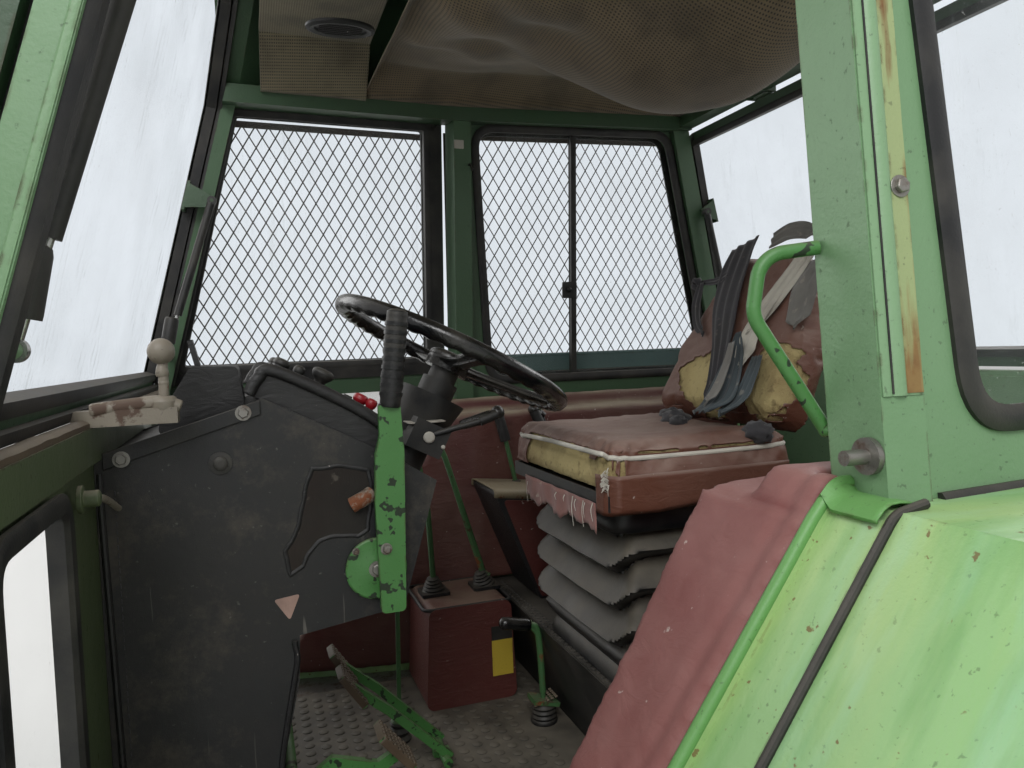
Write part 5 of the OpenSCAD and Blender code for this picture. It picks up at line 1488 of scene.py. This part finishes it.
def make_dash():
    """Torn hole, a dark sheet of painted shade with the tube in it, piping, stitches, patch, top strip and
    fixings of the dash.
    """
    torn = []
    for (x1, z1), (x2, z2) in zip(HOLE, [*HOLE[1:], HOLE[0]]):
        for k in range(6):
            x, z = x1 + (x2 - x1) * k / 6, z1 + (z2 - z1) * k / 6
            torn.append(Vector((x, z)) + Vector((5 * rough(x, z, 1, 40), 5 * rough(z, x, 2, 40))))
    edge = Shape()
    edge.strip(torn, [(-1, 0.2), (-0.5, 1.5), (2, 2.6), (5, 1.3), (7, 0.2)], at_dash)
    edge.piece("dash_tear", ["black_vinyl"], "black_vinyl", subdivide=1)
    # A dark sheet on the dash face stands for the shade inside the torn hole: painted shade
    hole = Shape()
    hole.slab(torn, at_dash, 0.1, 0.9)
    hole.piece("dash_hole_shade", ["painted_hole_shade"], "black_vinyl")
    inner = Shape()
    inner.tube(curve([at_dash(404, 762, 4), at_dash(414, 757, 8), at_dash(432, 748, 5)], 6), 11, 16)
    inner.piece("dash_tube", ["cast_grey"], "bare_steel")
    piping = Shape()
    for hand in (1, -1):
        front = curve([(743, hand * 219, 819), (743, hand * 221, 761), (740, hand * 221, 606),
                       (737, hand * 221, 438), (734, hand * 221, 300), (731, hand * 219, 175)], 8)
        rear = curve([(398, hand * 219, 690), (384, hand * 221, 607), (506, hand * 222, 578),
                      (516, hand * 222, 533), (542, hand * 222, 400), (556, hand * 220, 260),
                      (561, hand * 219, 175)], 10)
        piping.tube(front, 4.2, 10)
        piping.tube([p for p in rear if p.z < 573 or p.x > 470][6:], 4.2, 10)
    piping.piece("dash_piping", ["black_vinyl"], "black_vinyl")
    hem = Shape()
    for k in range(60):
        z = 200 + k * 10
        hem.tube([at_dash(727, z, 0.6), at_dash(727, z + 6, 0.9)], 0.8, 5)
    hem.piece("dash_stitches", ["dark_cloth"], "black_vinyl")
    patch = Shape()
    patch.slab(rounded([(542, 628), (507, 632), (522, 597)], 3), at_dash, 0.1, 0.9)
    patch.piece("dash_patch", ["sticker"], "black_vinyl")
    top = Shape()
    top.slab([(546, 902), (739, 845), (739, 823), (546, 882)], at_dash, 0.1, 3.4)
    top.piece("dash_top_strip", ["black"], "black_paint", bevel=1.2)
    fixings = Shape()
    for x, z in DASH_BOLTS:
        fixings.bolt(at_dash(x, z, 3.4), (0, 1, 0), 9)
    fixings.lathe([(15, 0), (15, 2), (9, 3), (9, 8), (7, 9.5), (3, 9.8)], at_dash(*DASH_PLUG, 0.2),
                  (0, 1, 0), 24, 1)
    fixings.piece("dash_fixings", ["steel", "black"], "bare_steel")


def make_pod():
    """Padded hood edge, dials, knobs and switches of the instrument panel."""
    hood = Shape()
    side = [on_pod(-184, 213, 6), on_pod(-188, 213, 26), on_pod(-120, 213, 40), on_pod(0, 213, 40),
            on_pod(16, 213, 22), on_pod(18, 213, -4)]
    for hand in (1, -1):
        line = [Vector((p.x, hand * (p.y + 1), p.z)) for p in curve(side, 8)]
        hood.tube(line, 9, 12)
    hood.tube([on_pod(-186, y, 22) for y in np.linspace(-208, 208, 20)], 9, 12)
    hood.piece("pod_edge", ["black_vinyl"], "black_vinyl", subdivide=1)
    out = (on_pod(0, 0, 1) - on_pod(0, 0, 0)).normalized()
    rims, faces = Shape(), Shape()
    for y in (-100, 0, 100):
        at = on_pod(-100, y, 34)
        rims.lathe([(43, 0), (43, 5), (41, 7), (37, 7), (36, 3), (36, 1)], at, out, 40)
        faces.lathe([(36, 0.4), (36, 1.4), (0.1, 1.4)], at, out, 40)
        for k in range(21):
            a = math.radians(-130 + 13 * k)
            u = (on_pod(1, 0, 0) - on_pod(0, 0, 0)).normalized()
            v = Vector((0, 1, 0))
            d = u * math.cos(a) + v * math.sin(a)
            long = 6 if k % 5 == 0 else 3.5
            faces.tube([at + out * 1.7 + d * 32, at + out * 1.7 + d * (32 - long)], 0.6, 4, tone=1)
        d = (on_pod(0, 0.6, 0) - on_pod(0.8, 0, 0)).normalized()
        faces.tube([at + out * 2.6 - d * 6, at + out * 2.6 + d * 26], [1.6, 0.4], 6, tone=1)
        faces.lathe([(5, 1.5), (5, 3.4), (3, 4)], at, out, 16)
    rims.piece("dial_rims", ["black"], "black_paint")
    faces.piece("dial_faces", ["black", "piping"], "black_vinyl")
    knobs = Shape()
    # Place along the panel, across, material and radius of each knob
    places = ((-8, 105, 0, 13), (-8, 60, 0, 13), (-8, -105, 0, 13), (-8, -150, 0, 13), (-126, 176, 1, 12),
              (-142, 184, 1, 9), (-30, 182, 0, 9))
    for x, y, tone, size in places:
        at = on_pod(x, y, 34)
        knobs.lathe([(size * 0.8, 0), (size * 0.8, 3), (6, 4), (5, 12), (size * 0.8, 15), (size, 19),
                     (size * 0.93, 25), (size * 0.6, 28)], at, out, 24, tone)
    knobs.piece("panel_knobs", ["black", "red_knob"], "wheel_plastic", subdivide=1)
    push = Shape()
    at = on_pod(-62, 180, 34)
    push.lathe([(16, -2), (16, 3), (12, 5)], at, out, 24, 1)
    push.lathe([(7, 4), (7, 20), (15, 24), (17, 31), (15, 36), (6, 38)], at, out, 24, 0)
    push.piece("push_knob", ["black", "panel_silver"], "black_paint", subdivide=1)
    switch = Shape()
    switch.slab(rounded([(-118, 168), (-96, 168), (-96, 194), (-118, 194)], 4), on_pod, 33, 44)
    switch.slab(rounded([(-113, 173), (-101, 173), (-101, 189), (-113, 189)], 3), on_pod, 44, 52)
    switch.piece("panel_switch", ["black"], "black_paint", bevel=1)


def make_sill():
    """Seal along the front sill, the ball lever's arm, green bush and open hook."""
    seal = Shape()
    section = ((741, 882.3), (741, 888), (746, 891.5), (754, 892), (763, 889), (766, 882.3))
    rows = []
    for k in range(81):
        y = -672 + 1344 * k / 80
        lift = 1.6 * rough(y, 0, 3, 24)
        rows.append([(x, y, z + lift) for x, z in section])
    seal.rows(rows, loop=True, ends=True)
    seal.piece("sill_seal", ["brown_rubber"], "black_rubber")
    ball = Shape()
    ball.ball((660, 260, 971), 16.6, (0, 0, 1), 1.0, 28)
    ball.lathe([(9, -8), (8, 0), (5.5, 12)], (660, 260, 946), (0, 0, 1), 16)
    ball.piece("sill_ball", ["cast_grey"], "black_paint", subdivide=1)
    arm = Shape()
    arm.tube(curve([(640, 262, 900), (662, 262, 908), (700, 266, 906), (742, 270, 902)], 8), 9, 14)
    arm.lathe([(17, -12), (17, 10), (13, 14)], (660, 260, 902), (0, 0, 1), 24)
    arm.piece("sill_arm", ["cast_grey"], "bare_steel", subdivide=1)
    hook = Shape()
    hook.lathe([(15, 0), (15, 5), (9, 6), (9, 20), (6, 22)], (738, 378, 814), (-1, 0, 0), 24)
    hook.piece("hook_bush", ["sill_green"], "green_paint", bevel=0.6)
    line = curve([(727, 378, 810), (724, 350, 808), (724, 324, 805), (724, 270, 790), (724, 221, 774),
                  (724, 196, 772), (724, 184, 782), (724, 188, 794)], 8)
    rod = Shape()
    rod.tube(line, 4.2, 10)
    rod.piece("sill_hook", ["cast_grey"], "bare_steel")


WHEEL = Vector((220, 0, 950))
WHEEL_TILT = math.radians(27.5)


def on_wheel(x, y, z):
    """A point of the steering wheel in its own frame: z along its axis, up and back toward the seat."""
    sin, cos = math.sin(WHEEL_TILT), math.cos(WHEEL_TILT)
    return WHEEL + Vector((x * cos - z * sin, y, x * sin + z * cos))


def make_wheel():
    """Finger grips under the rim, wide spokes and a hub cap, over the plain wheel."""
    grips = Shape()
    radius, thick = 205, 13
    rows = []
    sides = 20
    count = 240
    for i in range(count):
        a = 2 * math.pi * i / count
        wave = 0.5 + 0.5 * math.cos(a * 44)
        ring = []
        for j in range(sides):
            b = 2 * math.pi * j / sides
            under = max(0.0, -math.sin(b + 0.35))
            r = thick + 0.6 + under * (2.4 * wave - 0.5)
            ring.append(on_wheel((radius + r * math.cos(b)) * math.cos(a),
                                 (radius + r * math.cos(b)) * math.sin(a),
                                 r * math.sin(b)))
        rows.append(ring)
    grips.rows(rows, loop=True, ring=True)
    grips.piece("wheel_rim", ["gloss_black"], "wheel_plastic", "steering", smooth=60)
    spokes = Shape()
    for a in (90, 180, 270):
        u = Vector((math.cos(math.radians(a)), math.sin(math.radians(a))))
        v = Vector((-u.y, u.x))
        rows = []
        for t in np.linspace(0, 1, 13):
            r = 32 + (radius - 6 - 32) * t
            half = 27 - 13 * math.sin(math.pi * t) ** 0.7 + 5 * t
            z = -17 + 13 * t
            ring = []
            for k in range(20):
                b = 2 * math.pi * k / 20
                p = u * r + v * half * math.cos(b)
                ring.append(on_wheel(p.x, p.y, z + 6.5 * math.sin(b) * (1 - 0.35 * abs(math.cos(b)))))
            rows.append(ring)
        spokes.rows(rows, loop=True, ends=True)
    spokes.piece("wheel_spokes", ["gloss_black"], "wheel_plastic", "steering", smooth=60)
    cap = Shape()
    axis = (on_wheel(0, 0, 1) - on_wheel(0, 0, 0)).normalized()
    cap.lathe([(39, -30), (39.5, -6), (37, -2), (31, 1.5), (24, 2.4), (23, 1), (12, 1.4), (0.1, 1.6)],
              WHEEL, axis, 48)
    cap.piece("wheel_cap", ["gloss_black"], "wheel_plastic", "steering", subdivide=1, smooth=40)


def make_column():
    """Silver top of the switch box, its two round buttons and the stalk's grip."""
    trims = Shape()
    trims.slab(rounded([(254, 22), (316, 22), (316, 74), (254, 74)], 5), level(841), 0, 2.2)
    trims.piece("switch_plate", ["panel_silver"], "bare_steel", bevel=0.6)
    buttons = Shape()
    buttons.lathe([(10, 0), (10, 4), (8, 6), (0.1, 6.4)], (285, 76.2, 818), (0, 1, 0), 24)
    buttons.lathe([(4, 0), (4, 3), (2, 4)], (262, 76.2, 800), (0, 1, 0), 12)
    buttons.piece("switch_button", ["panel_silver"], "bare_steel", subdivide=1)
    stalk = Shape()
    start, end = Vector((262, 62, 824)), Vector((173, 93, 850))
    line = [start.lerp(end, t) for t in np.linspace(0.35, 1.02, 14)]
    stalk.tube(line, [7.5, 8.5, 9, 9.2, 9.4, 9.6, 9.8, 10, 10.2, 10.4, 10.4, 10, 8, 4], 16)
    stalk.piece("stalk_grip", ["gloss_black"], "wheel_plastic", subdivide=1)


def make_brake():
    """The hand brake's black ribbed grip, its round plate, and its bolts."""
    grip = Shape()
    foot = Vector((377, 254, 888))
    ahead = Vector((math.sin(math.radians(-7)), 0, math.cos(math.radians(-7))))
    profile = []
    for k in range(27):
        h = -2 + 128 * k / 26
        profile.append((14.4 + (1.5 if k % 2 else 0) * (2 < k < 24), h))
    profile += [(13, 128.5), (9, 131), (0.1, 132)]
    grip.lathe([(13, -4), *profile], foot, ahead, 24)
    grip.piece("brake_grip", ["rubber"], "black_rubber", smooth=50)
    plate = Shape()
    plate.lathe([(43, 0), (43, 2.6), (41, 4), (20, 4), (18, 5), (0.1, 5)], (402, 227.2, 656), (0, 1, 0), 48)
    plate.piece("brake_plate", ["bright_green"], "green_paint")
    pins = Shape()
    pins.bolt((402, 232.3, 656), (0, 1, 0), 10)
    pins.bolt((392, 259.2, 690), (0, 1, 0), 7)
    for x, z in ((430, 684), (374, 630)):
        pins.bolt((x, 231.4, z), (0, 1, 0), 4.5)
    pins.piece("brake_bolts", ["steel"], "bare_steel")


def make_levers():
    """Gear and hydraulic levers with ball knobs, ringed boots, and the rod in front of the console."""
    rods, knobs, boots, plates = Shape(), Shape(), Shape(), Shape()
    for path in (((170, -452, 386), (186, -410, 611), (214, -400, 758)),
                 ((46, -450, 386), (140, -405, 710), (170, -400, 782))):
        line = bends([Vector(p) for p in path], 60, 8)
        rods.tube([line[0] + Vector((0, 0, 34)), *line[1:]], 6.6, 14)
        axis = (line[-1] - line[-2]).normalized()
        knobs.ball(line[-1] + axis * 2, 17.6, axis, 1.12, 28)
        knobs.lathe([(8, -26), (9, -18), (12, -12)], line[-1], axis, 16)
        foot = Vector(path[0])
        plate = [(foot.x + a * 33, foot.y + b * 33) for a, b in ((-1, -1), (1, -1), (1, 1), (-1, 1))]
        boots.slab(rounded(plate, 8), level(386.2), 0, 7.4)
        up = (Vector(path[1]) - foot).normalized()
        boots.lathe([(26, 5), (27, 9), (23, 13), (24.5, 17), (20, 21), (21, 25), (16.5, 28), (18, 32),
                     (13, 35), (14.5, 39), (9, 42)], foot, up, 28)
    for path, size in ((((-62, -490, 606), (-36, -490, 730), (-18, -490, 800)), 17),
                       (((-196, -462, 376), (-122, -480, 775), (-110, -482, 802)), 13.4),
                       (((-212, -496, 376), (-140, -500, 770), (-132, -502, 794)), 9.6)):
        line = curve([Vector(p) for p in path], 8)
        rods.tube(line, 5.6, 12)
        axis = (line[-1] - line[-2]).normalized()
        knobs.ball(line[-1], size, axis, 1.1, 28)
        knobs.lathe([(7, -size - 8), (8, -size - 2), (9, -size + 4)], line[-1], axis, 16)
        foot = line[0]
        up = (line[1] - line[0]).normalized()
        boots.lathe([(19, 0), (20, 4), (15, 8), (17, 12), (12, 16), (13, 20), (8, 24)], foot, up, 20)
    low = curve([(-2, -198, 209), (5, -198, 349), (24, -198, 373), (50, -198, 379)], 10)
    rods.tube([p for p in low if p.z > 214], 7, 14)
    rows = [(8, -3), (12.4, 0), (13.2, 8), (12.6, 30), (13.4, 50), (12.6, 61), (8, 66), (1, 68)]
    knobs.lathe(rows, (24, -198, 373), (0.98, 0, 0.196), 20)
    boots.lathe([(28, 0), (29, 5), (26, 9), (28, 14), (25, 19), (27, 24), (24, 29), (26, 34), (21, 39),
                 (20, 44)], (-2, -198, 160), (0, 0, 1), 28)
    boots.lathe([(22, 0), (24, 6), (18, 14), (22, 22), (16, 30), (20, 38), (14, 46), (18, 54), (10, 62),
                 (6, 68)], (301, -240, 159.5), (0, 0, 1), 28)
    rods.piece("lever_rods", ["lever_green"], "green_paint")
    knobs.piece("lever_knobs", ["gloss_black"], "black_paint", smooth=60)
    boots.piece("lever_boots", ["rubber"], "black_rubber", smooth=50)
    for low, high, tone in ((214, 296, 0), (296, 328, 1)):
        plates.slab([(18, low), (67, low), (67, high), (18, high)], across_at(-334.6), 0, 1.0, tone)
    plates.piece("console_plate", ["yellow", "black"], "black_paint")


TOP_PROFILE = [(-537, -14), (-538.5, -2), (-534, 3), (-526, 5.5), (-443, 6.5), (-360, 5.5), (-352, 3),
               (-347.5, -2), (-349, -14)]


def make_consoles():
    """Brown side and worn beige top of the hydraulic console, and the gear console's edge bead."""
    skin = Shape()
    side = [(-118, 376), (-64, 376), (22, 612), (-100, 598)]
    skin.slab(rounded(side, 8), across_at(-349.8), 0, 1.8)
    skin.piece("console_side", ["console_vinyl"], "red_vinyl", bevel=0.6)
    top = Shape()
    rows = []
    for k in range(21):
        t = k / 20
        x = -112 + 155 * t
        z = 614 + 18 * t
        rows.append([(x, y, z + h) for y, h in TOP_PROFILE])
    top.rows(rows)
    made = top.piece("console_top", ["beige"], "liner_board", smooth=60)
    thicken(made, 2)
    bead = Shape()
    outline = rounded([(12, -534), (220, -534), (220, -337), (12, -337)], 22, 6)
    bead.strip(outline, [(-1.5, -3), (-1.5, 2), (2, 4), (6, 2), (6, -3)], level(384))
    bead.piece("gear_console_bead", ["black_vinyl"], "red_vinyl")


def add_blocks(shape, place, counts, pitch, sizes):
    """A grid of tapered blocks on a pad; sizes gives half the width, and the height, of foot and top."""
    for i in range(counts[0]):
        for j in range(counts[1]):
            u = (i - (counts[0] - 1) / 2) * pitch[0]
            v = (j - (counts[1] - 1) / 2) * pitch[1]
            rows = [[place(u + p * q, v + r * q, o) for p, r in ((-1, -1), (1, -1), (1, 1), (-1, 1))]
                    for q, o in sizes]
            shape.rows(rows, loop=True, ends=True)


def on_pad(base, tilt):
    """Puts a flat outline on a tilted pad: up along it, across, and out from its face."""
    a = math.radians(tilt)
    up, out = Vector((math.cos(a), 0, math.sin(a))), Vector((-math.sin(a), 0, math.cos(a)))
    return lambda u, v, o: Vector(base) + up * u + Vector((0, v, 0)) + out * o


def make_pedals():
    """Rubber pads on the pedals, each with a grid of blocks."""
    pads = Shape()
    for x, y, z, tilt in ((372, 130, 345, 50), (408, -112, 345, 56), (416, -186, 358, 56)):
        place = on_pad((x, y, z), tilt)
        pads.slab(rounded([(-38, -30), (38, -30), (38, 30), (-38, 30)], 7), place, -5.6, 6)
        add_blocks(pads, place, (7, 6), (11, 10), ((3.9, 5.8), (3.2, 8.4)))
    add_blocks(pads, on_pad((-2, -198, 206), -14), (6, 5), (9.6, 9.2), ((3.6, 4.2), (3, 6.4)))
    pads.piece("pedal_pads", ["brown_rubber"], "black_rubber", bevel=0.6)


def make_floor():
    """Round studs on the mat, and the stud strip on the platform's edge."""
    mat = Shape()
    pitch = 32
    lo, hi = (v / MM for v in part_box("floor_mat"))
    for i in range(int((hi.x - lo.x - 30) / pitch)):
        for j in range(int((hi.y - lo.y - 30) / pitch)):
            x = lo.x + 22 + i * pitch
            y = lo.y + 22 + j * pitch + (pitch / 2 if i % 2 else 0)
            if y > hi.y - 16:
                continue
            ray = MAT_TREE.ray_cast(Vector((x, y, 330)) * MM, Vector((0, 0, -1)), 0.3)[0]
            if ray is None or abs(ray.z / MM - MAT_TOP) > 2:
                continue
            if any(a < x < b and c < y < d for a, b, c, d in MAT_CLEAR):
                continue
            mat.lathe([(10.5, -0.3), (10.3, 0.9), (8.8, 1.7), (0.1, 1.9)], (x, y, MAT_TOP), (0, 0, 1), 12)
    mat.piece("mat_studs", ["mat"], "black_rubber", smooth=30)
    edge = Shape()
    lo, hi = (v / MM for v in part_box("seat_platform"))
    edge.slab([(hi.x - 34, lo.y + 30), (hi.x - 2, lo.y + 30), (hi.x - 2, hi.y - 30),
               (hi.x - 34, hi.y - 30)], level(PLATFORM_TOP), 0.05, 1.8)
    studs = int((hi.y - lo.y - 70) / 18)
    for k in range(studs):
        for row in (0, 1):
            y = lo.y + 42 + k * 18 + 9 * row
            edge.lathe([(5, 1.6), (4.6, 3.2), (2.6, 4), (0.1, 4.1)],
                       (hi.x - 10 - 15 * row, y, PLATFORM_TOP), (0, 0, 1), 10)
    edge.piece("platform_edge", ["black"], "black_rubber")


# Places on the mat without studs, under consoles, boots and seat: x from and to, y from and to
MAT_CLEAR = [(0, 232, -546, -325), (-40, 40, -240, -160), (270, 332, -272, -208), (-400, 30, -180, 180)]


def tree_of(node):
    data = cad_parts[node].data
    return BVHTree.FromPolygons([v.co.copy() for v in data.vertices],
                                [tuple(p.vertices) for p in data.polygons])


MAT_TREE = tree_of("floor_mat")


def make_strut_sleeves():
    """Wider sleeves at the lower ends of the strut tubes."""
    sleeves = Shape()
    for hand in (1, -1):
        start = Vector((732.5, hand * 600, 972))
        end = on_screen(hand * 600, 454, 0)
        ahead = (end - start).normalized()
        sleeves.lathe([(15, 26), (15.4, 30), (15.4, 78), (14, 84), (11.5, 86)], start, ahead, 24)
    sleeves.piece("strut_sleeves", ["black"], "black_paint", "screen_tubes")


for make in (make_cushion, make_seat_trim, make_back, make_rags, make_bellows, make_covers, make_headliner,
             make_side_windows, make_screen_seals, make_guards, make_near_post, make_front_posts,
             make_fender_trim, make_far_post, make_dash, make_pod, make_sill, make_wheel, make_column,
             make_brake, make_levers, make_consoles, make_pedals, make_floor, make_strut_sleeves):
    make()


# Floor, backdrop and lamps


def make_stage():
    data = bpy.data.meshes.new("studio_floor")
    size = 30
    data.from_pydata([(-size, -size, 0), (size, -size, 0), (size, size, 0), (-size, size, 0)], [],
                     [(0, 1, 2, 3)])
    floor = bpy.data.objects.new("studio_floor", data)
    floor.location.z = cad_box[0].z - 0.0005
    scene.collection.objects.link(floor)
    f = Finish("studio_floor", (205, 205, 203), 0.8)
    f.cover(f.noise(2), (212, 212, 210))
    floor.data.materials.append(f.done())

    world = bpy.data.worlds.new("studio")
    world.use_nodes = True
    scene.world = world
    tree = world.node_tree
    tree.nodes.clear()
    out = tree.nodes.new("ShaderNodeOutputWorld")
    mix = tree.nodes.new("ShaderNodeMixShader")
    light = tree.nodes.new("ShaderNodeBackground")
    light.inputs[0].default_value = (1, 1, 1, 1)
    light.inputs[1].default_value = 0.75
    seen = tree.nodes.new("ShaderNodeBackground")
    seen.inputs[0].default_value = (0.78, 0.83, 0.88, 1)
    seen.inputs[1].default_value = 1.0
    path = tree.nodes.new("ShaderNodeLightPath")
    either = tree.nodes.new("ShaderNodeMath")
    either.operation = "MAXIMUM"
    tree.links.new(path.outputs["Is Camera Ray"], either.inputs[0])
    tree.links.new(path.outputs["Is Transmission Ray"], either.inputs[1])
    tree.links.new(either.outputs[0], mix.inputs[0])
    tree.links.new(light.outputs[0], mix.inputs[1])
    tree.links.new(seen.outputs[0], mix.inputs[2])
    tree.links.new(mix.outputs[0], out.inputs[0])

    # Place, target, size and power of each lamp
    lamps = [
        ((2.2, 4.2, 4.4), (0.0, 0.0, 0.9), 3.0, 210),
        ((-4.5, -1.5, 4.0), (0.0, 0.0, 0.9), 3.5, 120),
        ((3.5, -4.0, 3.0), (0.0, 0.0, 0.9), 3.0, 80),
    ]
    for number, (place, target, size, power) in enumerate(lamps):
        data = bpy.data.lights.new(f"softbox_{number}", "AREA")
        data.size = size
        data.energy = power
        lamp = bpy.data.objects.new(f"softbox_{number}", data)
        lamp.location = place
        lamp.rotation_euler = (Vector(target) - Vector(place)).to_track_quat("-Z", "Y").to_euler()
        scene.collection.objects.link(lamp)


make_stage()
